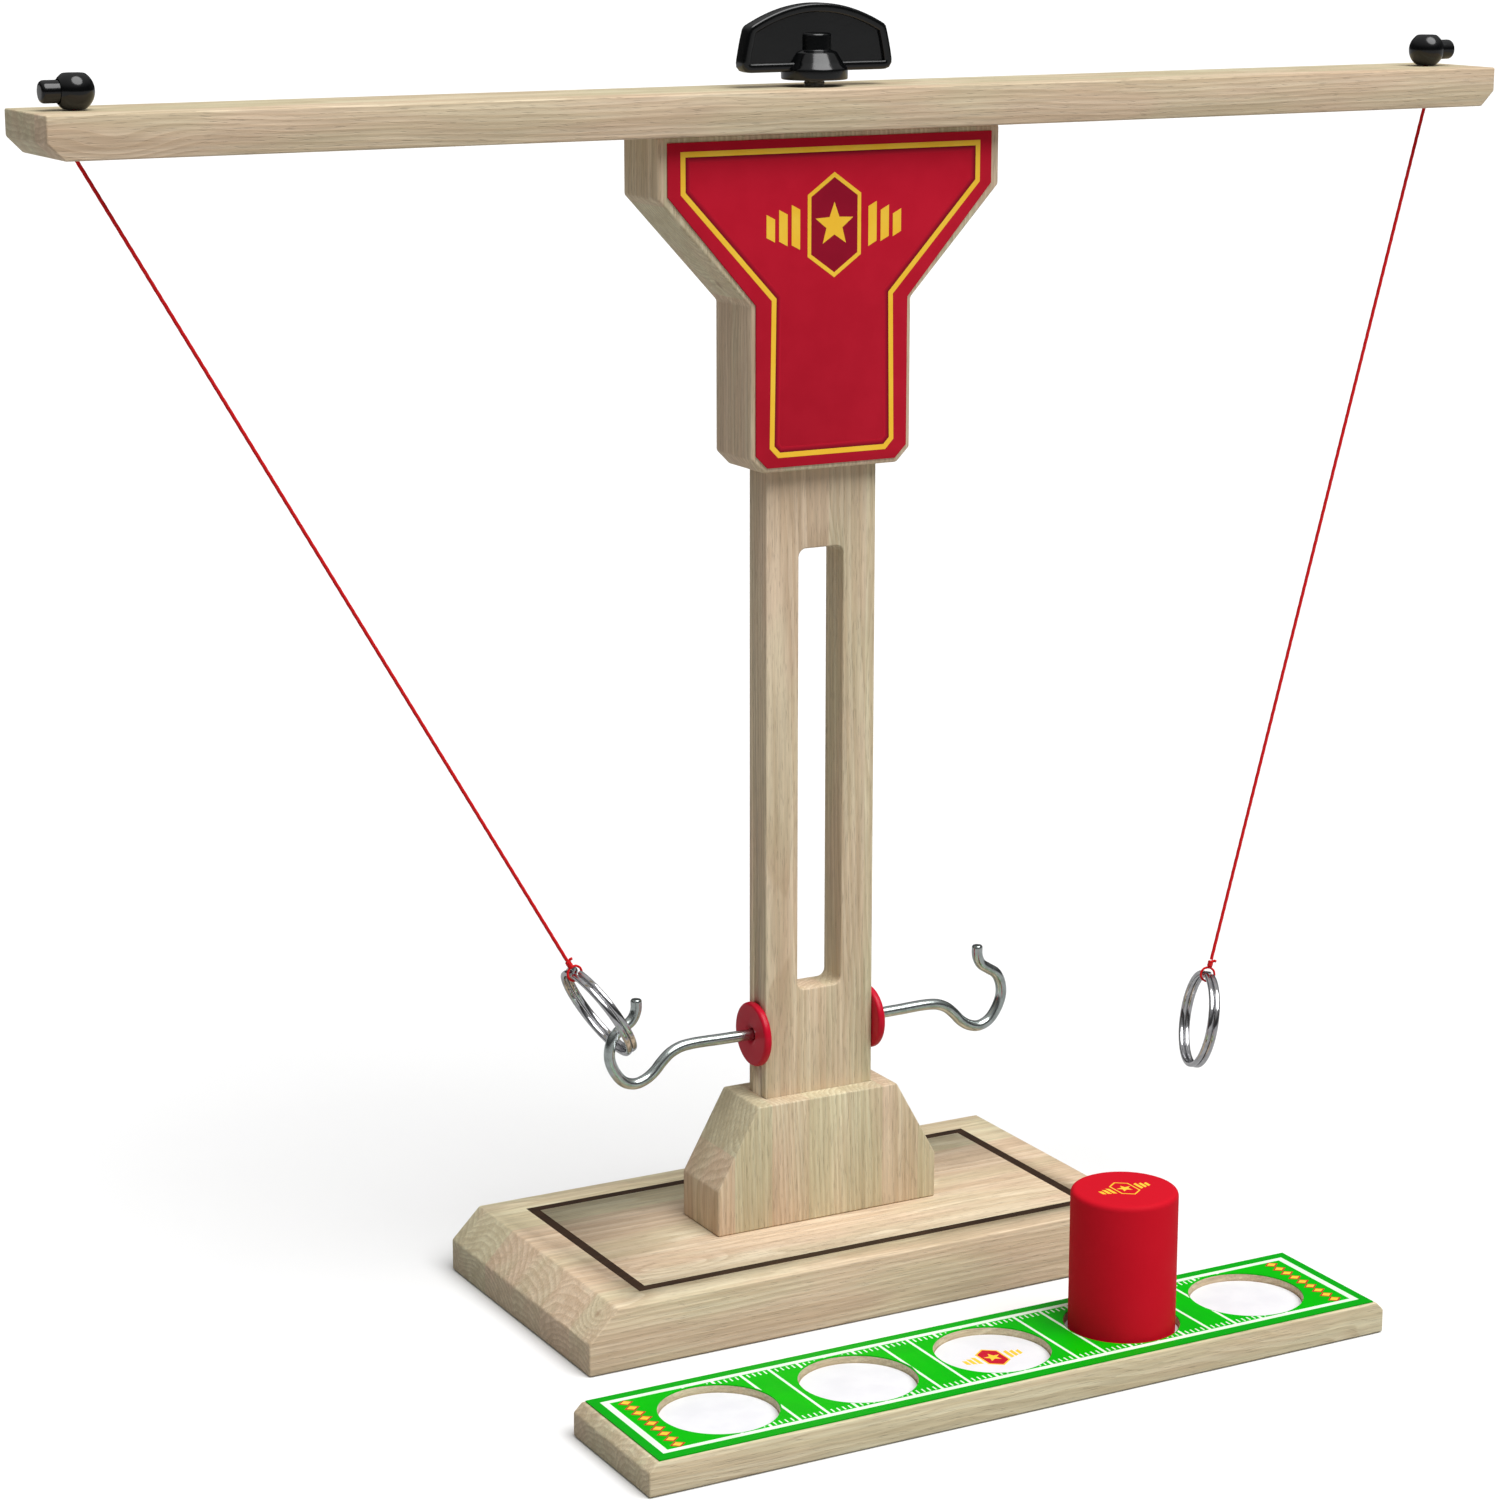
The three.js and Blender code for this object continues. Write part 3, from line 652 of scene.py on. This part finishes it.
PRINT = 0.05  # thickness of an ink layer
ROOT = 0.02  # how deep an ink layer goes into its sheet
BORDER = [(-17.5, 248.5), (17.5, 248.5), (20.2, 251.3), (19.6, 292.9), (48.1, 323.4), (48.1, 335.1),
          (-48.1, 335.1), (-48.1, 323.4), (-19.6, 292.9), (-20.2, 251.3)]
BORDER_LINE = 1.5
EMBLEM_AT = (0.4, 313.2)


def star(outer, inner, points=5):
    spikes = []
    for i in range(2 * points):
        turn = math.pi / 2 + math.pi * i / points
        reach = inner if i % 2 else outer
        spikes.append((reach * math.cos(turn), reach * math.sin(turn)))
    return spikes


BADGE = [(-8.6, -8.6), (0, -14.7), (8.6, -8.6), (8.6, 8.6), (0, 14.7), (-8.6, 8.6)]


def emblem(size, at):
    """A made-up badge: a star in a six-sided shield, between two wings of slanted bars."""
    lines = [BADGE, inset(BADGE, 1.15), star(6.4, 2.7)]
    for side in (-1, 1):
        for i, reach in enumerate((5.6, 4.4, 3.2)):
            x = 11.0 + 4.0 * i
            bar = [(x, -0.9 - reach), (x + 2.7, 0.5 - reach), (x + 2.7, 0.5 + reach), (x, -0.9 + reach)]
            lines.append([(side * u, v) for u, v in bar])
    field = scaled(inset(BADGE, 1.0), size, at)
    return {"lines": [scaled(line, size, at) for line in lines], "field": [field]}


def make_yoke_print():
    panel = from_node("yoke_panel", "yoke_panel_sheet")
    low = node_box("yoke_panel")[0]
    ease_edges(panel, 0.12, lambda point: abs(point.y - low.y) < 0.01, 2)
    piece_of(panel, "stand", "red_print", None, "yoke_panel")
    dress(panel, LOOKS["red_print"], LOOKS["red_print"])
    back = low.y + ROOT
    line = plate("yoke_border_line", [BORDER, inset(BORDER, BORDER_LINE)], back, PRINT + ROOT, True)
    piece_of(line, "stand", "yellow_print", LOOKS["yellow_print"])
    # A band of painted shadow just inside the yellow border line.
    band = [inset(BORDER, BORDER_LINE - 0.2), inset(BORDER, BORDER_LINE + 1.6)]
    shadow = plate("yoke_border_shade", band, back, PRINT - 0.01, True)
    shade_by_depth(shadow)
    piece_of(shadow, "stand", "red_print", painted_shadow_ink())
    badge = emblem(1.0, EMBLEM_AT)
    lines = plate("yoke_badge_lines", badge["lines"], back, PRINT + ROOT, True)
    piece_of(lines, "stand", "yellow_print", LOOKS["yellow_print"])
    field = plate("yoke_badge_field", badge["field"], back, PRINT - 0.01, True)
    piece_of(field, "stand", "red_print", ink("badge_dark_red", (146, 16, 42), (152, 18, 44)))


def shade_by_depth(piece):
    """Marks the outer loop's points with 1 and the inner loop's with 0."""
    ring = [Vector(point) for point in inset(BORDER, BORDER_LINE + 0.7)]

    def beyond(point):
        """Whether the point lies outside the middle loop."""
        inside = False
        for i, here in enumerate(ring):
            there = ring[i - 1]
            if (here.y > point.y) != (there.y > point.y):
                if point.x < (there.x - here.x) * (point.y - here.y) / (there.y - here.y) + here.x:
                    inside = not inside
        return not inside

    layer = piece.data.attributes.new("shade", "FLOAT", "POINT")
    for i, vertex in enumerate(piece.data.vertices):
        layer.data[i].value = 1.0 if beyond(Vector((vertex.co.x, vertex.co.z)) / MM) else 0.0


YARDS = {"pitch": 8.82, "count": 10, "width": 0.85, "tick": 0.45, "tick_from": 14.6, "tick_to": 16.6,
         "end": (110.4, 112.4), "side": (17.1, 18.7), "clear": 16.9}
DIAMOND = [(-2.3, 0), (0, -1.8), (2.3, 0), (0, 1.8)]


def make_field_print():
    low, high = node_box("field_panel")
    middle = (low + high) / 2
    discs = [node_box(f"cup_disc_{number}") for number in CUPS]
    cups = [((a + b) / 2).x for a, b in discs]
    hole = (discs[0][1].x - discs[0][0].x) / 2 + LADDER["rim_gap"]
    loops = [rectangle(low.x, high.x, low.y, high.y)] + [circle(hole, (x, middle.y)) for x in cups]
    panel = plate("field_sheet", loops, low.z, high.z - low.z)
    piece_of(panel, "ladder", "green_print", field_ink(middle), "field_panel")

    def free_from(x):
        """How far from the middle line the print starts at that x, because of the recesses."""
        near = min(abs(x - cup) for cup in cups)
        return math.sqrt(YARDS["clear"] ** 2 - near ** 2) if near < YARDS["clear"] else 0.0

    def strip(x, width, start, end):
        edges = (x - width / 2, x + width / 2)
        starts = [max(start, free_from(edge)) for edge in edges]
        if start == 0 and max(starts) == 0:
            return [rectangle(*edges, middle.y - end, middle.y + end)]
        if min(end - s for s in starts) < 0.15:
            return []
        starts = [max(s, 0.05) for s in starts]
        return [[(edges[0], middle.y + side * starts[0]), (edges[1], middle.y + side * starts[1]),
                 (edges[1], middle.y + side * end), (edges[0], middle.y + side * end)] for side in (-1, 1)]

    (end0, end1), (side0, side1) = YARDS["end"], YARDS["side"]
    marks = [rectangle(middle.x - end1, middle.x + end1, middle.y - side1, middle.y + side1),
             rectangle(middle.x - end0, middle.x + end0, middle.y - side0, middle.y + side0)]
    for k in range(-YARDS["count"], YARDS["count"] + 1):
        marks += strip(middle.x + k * YARDS["pitch"], YARDS["width"], 0, side0 - ROOT)
        for tick in range(1, 5) if k < YARDS["count"] else ():
            x = middle.x + (k + tick / 5) * YARDS["pitch"]
            marks += strip(x, YARDS["tick"], YARDS["tick_from"], YARDS["tick_to"])
    lines = plate("field_lines", marks, high.z - ROOT, PRINT + ROOT)
    piece_of(lines, "ladder", "white_print", LOOKS["white_print"])

    places = [(middle.x + side * 106.4, middle.y + i * 3.8) for side in (-1, 1) for i in range(-4, 5)]
    rim, heart = ([scaled(DIAMOND, size, at) for at in places] for size in (1.0, 0.7))
    diamonds = plate("end_zone_diamonds", rim, high.z - ROOT, PRINT + ROOT)
    piece_of(diamonds, "ladder", "red_print", LOOKS["red_print"])
    hearts = plate("end_zone_hearts", heart, high.z - ROOT, PRINT + 0.05)
    piece_of(hearts, "ladder", "yellow_print", LOOKS["yellow_print"])


def field_ink(middle):
    """Green ink, brighter inside the white border than on the rim."""
    graph = Graph("field_ink", Specular_IOR_Level=0.08)
    split = graph.node("ShaderNodeSeparateXYZ")
    graph.put(split.inputs[0], graph.vector("SUBTRACT", graph.place(), tuple(middle)))
    along = graph.between(graph.math("ABSOLUTE", split.outputs[0]), 111.2, 111.6, 1.0, 0.0)
    across = graph.between(graph.math("ABSOLUTE", split.outputs[1]), 17.8, 18.0, 1.0, 0.0)
    mottle = graph.noise(graph.place(), (0.12, 0.12, 0.12), 3)
    tooth = graph.noise(graph.place(), (5.0, 5.0, 5.0), 2)
    bright = graph.mix(graph.between(mottle, 0.3, 0.7), (0, 188, 2), (2, 180, 8))
    colour = graph.mix(graph.math("MULTIPLY", along, across), (2, 164, 18), bright)
    return graph.finish(colour, graph.between(tooth, 0.3, 0.7, 0.38, 0.46), tooth, 0.008)


def make_discs():
    for number in CUPS:
        low, high = node_box(f"cup_disc_{number}")
        middle, radius = (low + high) / 2, (high.x - low.x) / 2
        profile = softened([(0, low.z), (radius, low.z, 0), (radius, high.z, 0.12), (0, high.z)], 0)
        disc = turned(f"cup_card_{number}", profile, (middle.x, middle.y, 0), sides=128)
        piece_of(disc, "ladder", "white_sheet", LOOKS["white_sheet"], f"cup_disc_{number}")
        if number == 3:
            badge = emblem(0.42, (middle.x, middle.y - 0.3))
            lines = plate("cup_badge_lines", badge["lines"], high.z - ROOT, PRINT + ROOT)
            piece_of(lines, "ladder", "yellow_print", LOOKS["yellow_print"])
            field = plate("cup_badge_field", badge["field"], high.z - ROOT, PRINT + 0.01)
            piece_of(field, "ladder", "red_print", LOOKS["red_print"])


def make_marker():
    low, high = node_box("score_marker")
    middle, radius = (low + high) / 2, (high.x - low.x) / 2
    profile = softened([(0, low.z), (radius, low.z, 0.5), (radius, high.z, 1.8), (0, high.z)], 0, 8)
    marker = turned("marker_body", profile, (middle.x, middle.y, 0), sides=160)
    piece_of(marker, "marker", "red_paint", LOOKS["red_paint"], "score_marker")
    badge = emblem(0.37, (middle.x, middle.y))
    lines = plate("marker_badge", badge["lines"], high.z - ROOT, PRINT)
    piece_of(lines, "marker", "yellow_print", LOOKS["yellow_print"])


make_yoke_print()
make_field_print()
make_discs()
make_marker()

# ---------------------------------------------------------------- hooks and washers

HOOK_RADIUS = 1.65
HOOK_Z = 75.5
THREAD = {"start": 5.0, "end": 16.4, "core": 1.3, "pitch": 2.4}
HOOK_LINE = [(14, 75.5), (20, 75.5), (30, 75.6), (40, 75.7), (44, 75.2), (47.2, 73.8), (49.8, 71.6),
             (52.3, 69), (55.2, 67.1), (58.6, 66.3), (62.2, 67.5), (65.1, 70.9), (66.7, 75.2), (66.3, 79.3),
             (64.7, 82.2), (61.9, 84.1), (59.4, 85.9), (58.1, 88.6), (58, 91.9)]


def curve_through(points, step=0.4):
    """A smooth line through the points, in short steps, with their own spacing kept in mind."""
    line = []
    padded = [points[0] * 2 - points[1]] + points + [points[-1] * 2 - points[-2]]
    for p0, p1, p2, p3 in zip(padded, padded[1:], padded[2:], padded[3:]):
        t1 = (p1 - p0).length ** 0.5
        t2 = t1 + (p2 - p1).length ** 0.5
        t3 = t2 + (p3 - p2).length ** 0.5
        count = max(2, round((p2 - p1).length / step))
        for i in range(count):
            t = t1 + (t2 - t1) * i / count
            a1 = p0 * ((t1 - t) / t1) + p1 * (t / t1)
            a2 = p1 * ((t2 - t) / (t2 - t1)) + p2 * ((t - t1) / (t2 - t1))
            a3 = p2 * ((t3 - t) / (t3 - t2)) + p3 * ((t - t2) / (t3 - t2))
            b1 = a1 * ((t2 - t) / t2) + a2 * (t / t2)
            b2 = a2 * ((t3 - t) / (t3 - t1)) + a3 * ((t - t1) / (t3 - t1))
            line.append(b1 * ((t2 - t) / (t2 - t1)) + b2 * ((t - t1) / (t2 - t1)))
    return line + [points[-1]]


def make_hook(side):
    sign = SIDES[side]
    line = curve_through([Vector((sign * x, 0, z)) for x, z in HOOK_LINE])
    count = len(line)

    def wire(row, angle):
        return HOOK_RADIUS - (0.3 if row == count - 1 else 0.0)

    bent = skin("bent", round_sections(line, wire, 28), smooth_below=50)
    core, pitch, end = THREAD["core"], THREAD["pitch"], THREAD["end"]
    profile = [(0, THREAD["start"]), (core, THREAD["start"] + 1.5)]
    along = THREAD["start"] + 2
    while along < end - 1.9:
        profile += [(core, along), (HOOK_RADIUS, along + pitch / 2)]
        along += pitch
    profile += [(core, end), (0, end)]
    thread = turned("thread", profile, (0, 0, HOOK_Z), "X", sign, 32)
    hook = joined(f"hook_wire_{side}", [bent, thread])
    shade(hook, 50)
    piece_of(hook, "stand", "zinc_steel", LOOKS["zinc_steel"], f"hook_{side}")


def make_washer(side):
    low, high = node_box(f"hook_washer_{side}")
    middle = (low + high) / 2
    radius, thick = (high.z - low.z) / 2, high.x - low.x
    hole = HOOK_RADIUS + 0.12
    profile = [(hole, 0, 0.15), (radius, 0, 0.9), (radius, thick, 1.15), (hole + 1.3, thick - 0.1, 0.5),
               (hole, thick - 0.7, 0.4)]
    foot = (low.x if side == "right" else high.x, middle.y, middle.z)
    washer = turned(f"washer_{side}", softened(profile, 0.3, 6, True), foot, "X", SIDES[side], 96, True)
    piece_of(washer, "stand", "red_plastic", LOOKS["red_plastic"], f"hook_washer_{side}")


for side in SIDES:
    make_hook(side)
    make_washer(side)

# ---------------------------------------------------------------- knob and bolt

KNOB = {"half_top": 21.9, "half_bottom": 24.4, "bottom": 355.2, "side": 367.7, "peak": 374.0, "rim": 2.6,
        "rim_thick": 5.0, "web_thick": 2.6, "base": 352.9, "top": 365.7, "bore": 4.0, "bore_top": 362.4}


def knob_loop(distance, count=160):
    """The knob blade's outline moved inwards, as points in X and Z, evenly spaced."""
    bottom, side, peak = KNOB["bottom"], KNOB["side"], KNOB["peak"]
    wide, narrow = KNOB["half_bottom"], KNOB["half_top"]

    def arc(a, b, c):
        return [tuple(Vector(a) * (1 - t) ** 2 + Vector(b) * (2 * t * (1 - t)) + Vector(c) * t * t)
                for t in (i / 24 for i in range(24))]

    right = arc((wide - 3.4, bottom), (wide - 0.2, bottom), (wide - 0.4, bottom + 2.8))
    right += arc((wide - 0.4, bottom + 2.8), (wide - 1.2, bottom + 8), (narrow, side))
    right += arc((narrow, side), (narrow / 2, peak), (0, peak))
    loop = right + [(-u, v) for u, v in reversed(right)]
    if distance:
        loop = inset(loop, distance)
    lengths = [0.0]
    for i in range(len(loop)):
        lengths.append(lengths[-1] + (Vector(loop[(i + 1) % len(loop)]) - Vector(loop[i])).length)
    even, at = [], 0
    for i in range(count):
        want = lengths[-1] * i / count
        while lengths[at + 1] < want:
            at += 1
        share = (want - lengths[at]) / max(lengths[at + 1] - lengths[at], 1e-9)
        even.append(tuple(Vector(loop[at]).lerp(Vector(loop[(at + 1) % len(loop)]), share)))
    return even


def make_knob():
    half, rim = KNOB["rim_thick"] / 2, KNOB["rim"]
    middle = knob_loop(rim / 2)
    section = softened(rectangle(-rim / 2, rim / 2, -half, half), 0.9, 4, True)
    rings = []
    for i, here in enumerate(middle):
        before, after = Vector(middle[i - 1]), Vector(middle[(i + 1) % len(middle)])
        ahead = (after - before).normalized()
        out = Vector((ahead.y, -ahead.x))
        rings.append([Vector((here[0] + out.x * u, v, here[1] + out.y * u)) for u, v in section])
    border = skin("border", rings, True)
    web = plate("web", [knob_loop(rim * 0.5, 96)], KNOB["web_thick"] / 2, KNOB["web_thick"], True)
    base, top = KNOB["base"], KNOB["top"]
    profile = [(0, base), (9.4, base, 0.5), (9.4, base + 3, 0.4), (8.0, 357.6, 0.5), (6.3, 360.4, 0.4),
               (4.7, 361, 0.3), (4.7, top, 0.9), (0, top)]
    hub = turned("hub", softened(profile, 0.3), sides=96)
    wide, deep = KNOB["bore"], KNOB["bore_top"]
    bore = turned("bore", [(0, base - 5), (wide, base - 5), (wide, deep), (0, deep)], sides=64)
    knob = joined("knob_moulding", [carve(hub, bore), border, web])
    shade(knob, 40)
    piece_of(knob, "knob", "black_plastic", LOOKS["black_plastic"], "wing_knob")


BOLT = {"wood_thread_end": 333.5, "plain": (335.5, 345), "coarse": 2.4, "fine": 1.0}


def make_bolt():
    """A coarse thread in the yoke, a plain shank in the beam, and a fine thread in the knob."""
    low, high = node_box("hanger_bolt")
    radius = (high.x - low.x) / 2
    profile = [(0, low.z), (radius - 0.6, low.z + 3)]
    z = low.z + 4
    while z < BOLT["wood_thread_end"]:
        profile += [(radius - 0.7, z), (radius, z + BOLT["coarse"] / 2)]
        z += BOLT["coarse"]
    profile += [(radius - 0.3, end) for end in BOLT["plain"]]
    z = BOLT["plain"][1] + 0.5
    while z < high.z - 1:
        profile += [(radius - 0.35, z), (radius - 0.02, z + BOLT["fine"] / 2)]
        z += BOLT["fine"]
    profile += [(radius - 0.8, high.z), (0, high.z)]
    bolt = turned("bolt_shank", profile, sides=64)
    # Paler and rougher zinc than on the other parts: painted light, so the shank in the shade of the knob's
    # collar looks bright.
    zinc = metal("bolt_lightened_zinc", (232, 234, 236), (206, 208, 210), 0.5, (3.0, 3.0, 3.0), 0.01)
    piece_of(bolt, "stand", "zinc_steel", zinc, "hanger_bolt")


make_knob()
make_bolt()

# ---------------------------------------------------------------- cord locks

LOCK = {"radius": 5.35, "half": 4.55, "bore": 3.25, "deep": 4.0, "hole": 0.95, "travel": 1.4}
PLUNGER = {"radius": 2.95, "outer": 9.1, "inner": 1.7, "slot": 0.9, "play": 0.3}


def make_lock(side):
    sign = SIDES[side]
    low, high = node_box(f"lock_barrel_{side}")
    centre = Vector((sign * EXIT_X, 0, (low.z + high.z) / 2))
    ball, half, hole = LOCK["radius"], LOCK["half"], LOCK["hole"]
    rise = math.asin(half / ball)
    curve = [(ball * math.cos(a), ball * math.sin(a), 0) for a in (rise * (i / 12 - 1) for i in range(25))]
    curve[0] = (curve[0][0], curve[0][1], 0.45)
    curve[-1] = (curve[-1][0], curve[-1][1], 0.45)
    profile = [(hole, -half, 0.2)] + curve + [(hole, half, 0.35)]
    barrel = turned(f"lock_body_{side}", softened(profile, 0, 4, True), centre, sides=96, hollow=True)
    wide, deep = LOCK["bore"], LOCK["deep"]
    carve(barrel, turned("bore", [(0, -deep), (wide, -deep), (wide, 10), (0, 10)], centre, "X", sign, 64))
    piece_of(barrel, "beam", "black_plastic", LOOKS["black_plastic"], f"lock_barrel_{side}")

    radius, outer, inner = PLUNGER["radius"], PLUNGER["outer"], PLUNGER["inner"]
    profile = [(0, -inner), (radius, -inner, 0.3), (radius, outer, 1.3), (0, outer)]
    plunger = turned(f"lock_button_{side}", softened(profile, 0, 6), centre, "X", sign, 72)
    reach = STRING["radius"] + PLUNGER["play"] + LOCK["travel"] / 2
    x, y = centre.x + sign * LOCK["travel"] / 2, centre.y
    slot = rectangle(x - reach, x + reach, y - PLUNGER["slot"], y + PLUNGER["slot"])
    carve(plunger, plate("slot", [softened(slot, 0.4, 4, True)], centre.z - 10, 20))
    piece_of(plunger, f"plunger_{side}", "black_plastic", LOOKS["black_plastic"], f"lock_plunger_{side}")


def make_spring(side):
    """The spring behind the button, at the bottom of the bore, as a plain copy of the CAD node."""
    spring = from_node(f"lock_spring_{side}", f"lock_coil_{side}")
    tidy_mesh(spring, 60)
    piece_of(spring, "beam", "zinc_steel", LOOKS["zinc_steel"], f"lock_spring_{side}")
    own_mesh(spring)


for side in SIDES:
    make_lock(side)
    make_spring(side)

# ---------------------------------------------------------------- split rings and knots

RING = {"radius": 14.6, "pitch": 1.8, "wide": 0.84, "deep": 0.76, "round": 0.7, "steps": 720, "start": 7,
        "sweep": 706, "change": 0.018}
LEAN = {"left": 31.1, "right": -11.0}
TWIST = {"left": 0.0, "right": -19.7}
KNOT = {"loop": 2.2, "cord": 0.38, "base": 2.6, "wraps": 3, "pitch": 0.6, "coil": 0.5}


def hung(side, lean):
    """Takes the ring's own frame, with its top at the origin, to the ring's place."""
    turn = Matrix.Rotation(math.radians(-lean), 4, "Y") @ Matrix.Rotation(math.radians(TWIST[side]), 4, "Z")
    return Matrix.Translation(RING_TOP[side]) @ turn


def make_ring(side):
    """Two turns of flattened wire that change over and end at the top, inside the knot's loop."""
    place = hung(side, LEAN[side])
    wide, deep, steps = RING["wide"], RING["deep"], RING["steps"]
    section = softened(rectangle(-wide, wide, -deep, deep), RING["round"], 5, True)
    rings = []
    for i in range(steps + 1):
        t = i / steps
        share = min(max((t - 0.5) / RING["change"] + 0.5, 0), 1)
        change = share * share * (3 - 2 * share) - 0.5
        turn = math.radians(RING["start"] + RING["sweep"] * t)
        end = 0.12 if i in (0, steps) else 0.0
        ring = []
        for u, v in section:
            reach = RING["radius"] + v * (1 - end)
            point = Vector((change * RING["pitch"] + u * (1 - end), reach * math.sin(turn), 0))
            point.z = reach * math.cos(turn) - RING["radius"]
            ring.append(place @ point)
        rings.append(ring)
    ring = skin(f"split_ring_{side}", rings, smooth_below=50)
    piece_of(ring, f"ring_{side}", "polished_steel", LOOKS["polished_steel"], f"ring_{side}")


def strands(name, line, radius, closed=False):
    """Thin twisted cord along a line."""
    def lobe(row, angle):
        return radius * (1 - 0.05 * (1 - math.cos(3 * angle - 0.7 * row)))
    return skin(name, round_sections(line, lobe, 12, closed), closed, 60)


def make_knot(side):
    """A loop round the ring's wire, three wraps of the cord above it, and a short cut end."""
    start = string_route(side)[0]
    lean = math.degrees(math.atan2(RING_TOP[side].x - start.x, start.z - RING_TOP[side].z))
    place = hung(side, lean)
    loop, cord = KNOT["loop"], KNOT["cord"]
    turns = [2 * math.pi * i / 96 for i in range(96)]
    eye = [place @ Vector((loop * math.sin(a), 0, loop * math.cos(a))) for a in turns]
    coil = []
    for i in range(36 * KNOT["wraps"] + 1):
        turn = 2 * math.pi * i / 36
        rise = KNOT["base"] + KNOT["pitch"] * i / 36
        coil.append(place @ Vector((KNOT["coil"] * math.cos(turn), KNOT["coil"] * math.sin(turn), rise)))
    top = KNOT["base"] + KNOT["pitch"] * KNOT["wraps"]
    bend = ((0.62, 0, top - 0.1), (1.0, -0.4, top + 0.3), (1.5, -0.7, top + 0.2))
    tail = curve_through([place @ Vector(point) for point in bend], 0.1)
    core = [place @ Vector((0, 0, KNOT["base"] - 0.6 + 0.1 * i)) for i in range(24)]
    parts = [strands("eye", eye, cord, True), strands("coil", coil, 0.42), strands("tail", tail, 0.42),
             strands("core", core, 0.5)]
    knot = joined(f"knot_wraps_{side}", parts)
    shade(knot, 60)
    body = {"left": "string_left", "right": "knot_right"}[side]
    piece_of(knot, body, "red_cord", LOOKS["red_cord"], f"knot_{side}")


for side in SIDES:
    make_ring(side)
    make_knot(side)
    dress(STRINGS[side], LOOKS["red_cord"])

# ---------------------------------------------------------------- hidden hardware

HIDDEN = {"red_cord": ["string_stub_left", "string_stub_right"],
          "brass": ["knob_insert"],
          "zinc_steel": ["pedestal_screw_left", "pedestal_screw_right",
                         "post_screw_left", "post_screw_right"]}
for look, nodes in HIDDEN.items():
    for node in nodes:
        dress(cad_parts[node], LOOKS[look])

# ---------------------------------------------------------------- floor and light


FLOOR = {"half": 20000, "low": -0.3}


def make_floor():
    """A pale floor, which sends less light back up than its own colour would."""
    half = FLOOR["half"]
    corners = [(x, y, FLOOR["low"]) for x, y in rectangle(-half, half, -half, half)]
    floor = mesh_object("floor", corners, [(0, 1, 2, 3)])
    graph = Graph("pale_floor", Specular_IOR_Level=0.0)
    dust = graph.noise(graph.place(), (0.004, 0.004, 0.004), 2)
    seen = graph.mix(graph.between(dust, 0.3, 0.7), (243, 243, 243), (246, 246, 246))
    straight = graph.node("ShaderNodeLightPath").outputs["Is Camera Ray"]
    dress(floor, graph.finish(graph.mix(straight, (172, 172, 172), seen), 0.9))


# The ramp's stops run from 0 at the horizon to 1 overhead, each with its grey level.
LIGHT = {"world": 0.55, "sun": 3.15, "sun_angle": 50, "sun_from": (0.15, -0.47, 0.87),
         "ramp": [(0.0, 0.1), (0.12, 0.08), (0.3, 0.12), (0.6, 0.6), (1.0, 1.1)]}


def make_light():
    """A broad, soft key light from the front, and a sky that is dark low down. To the camera it is white."""
    scene = bpy.context.scene
    world = bpy.data.worlds.new("studio")
    scene.world = world
    world.use_nodes = True
    tree = world.node_tree
    tree.nodes.clear()
    where = tree.nodes.new("ShaderNodeTexCoord")
    split = tree.nodes.new("ShaderNodeSeparateXYZ")
    ramp = tree.nodes.new("ShaderNodeValToRGB")
    back = tree.nodes.new("ShaderNodeBackground")
    out = tree.nodes.new("ShaderNodeOutputWorld")
    tree.links.new(where.outputs["Generated"], split.inputs[0])
    tree.links.new(split.outputs["Z"], ramp.inputs[0])
    tree.links.new(ramp.outputs[0], back.inputs[0])
    behind = tree.nodes.new("ShaderNodeBackground")
    straight = tree.nodes.new("ShaderNodeLightPath")
    choice = tree.nodes.new("ShaderNodeMixShader")
    tree.links.new(straight.outputs["Is Camera Ray"], choice.inputs[0])
    tree.links.new(back.outputs[0], choice.inputs[1])
    tree.links.new(behind.outputs[0], choice.inputs[2])
    tree.links.new(choice.outputs[0], out.inputs[0])
    while len(ramp.color_ramp.elements) < len(LIGHT["ramp"]):
        ramp.color_ramp.elements.new(0.5)
    for element, (position, value) in zip(ramp.color_ramp.elements, LIGHT["ramp"]):
        element.position = position
        element.color = (value, value, value, 1)
    back.inputs[1].default_value = LIGHT["world"]
    behind.inputs[0].default_value = (1, 1, 1, 1)

    sun = bpy.data.lights.new("key", "SUN")
    sun.energy = LIGHT["sun"]
    sun.angle = math.radians(LIGHT["sun_angle"])
    lamp = linked("key", sun)
    lamp.rotation_mode = "QUATERNION"
    lamp.rotation_quaternion = Vector(LIGHT["sun_from"]).to_track_quat("Z", "Y")
    scene.view_settings.view_transform = "Standard"
    scene.view_settings.look = "None"


make_floor()
make_light()
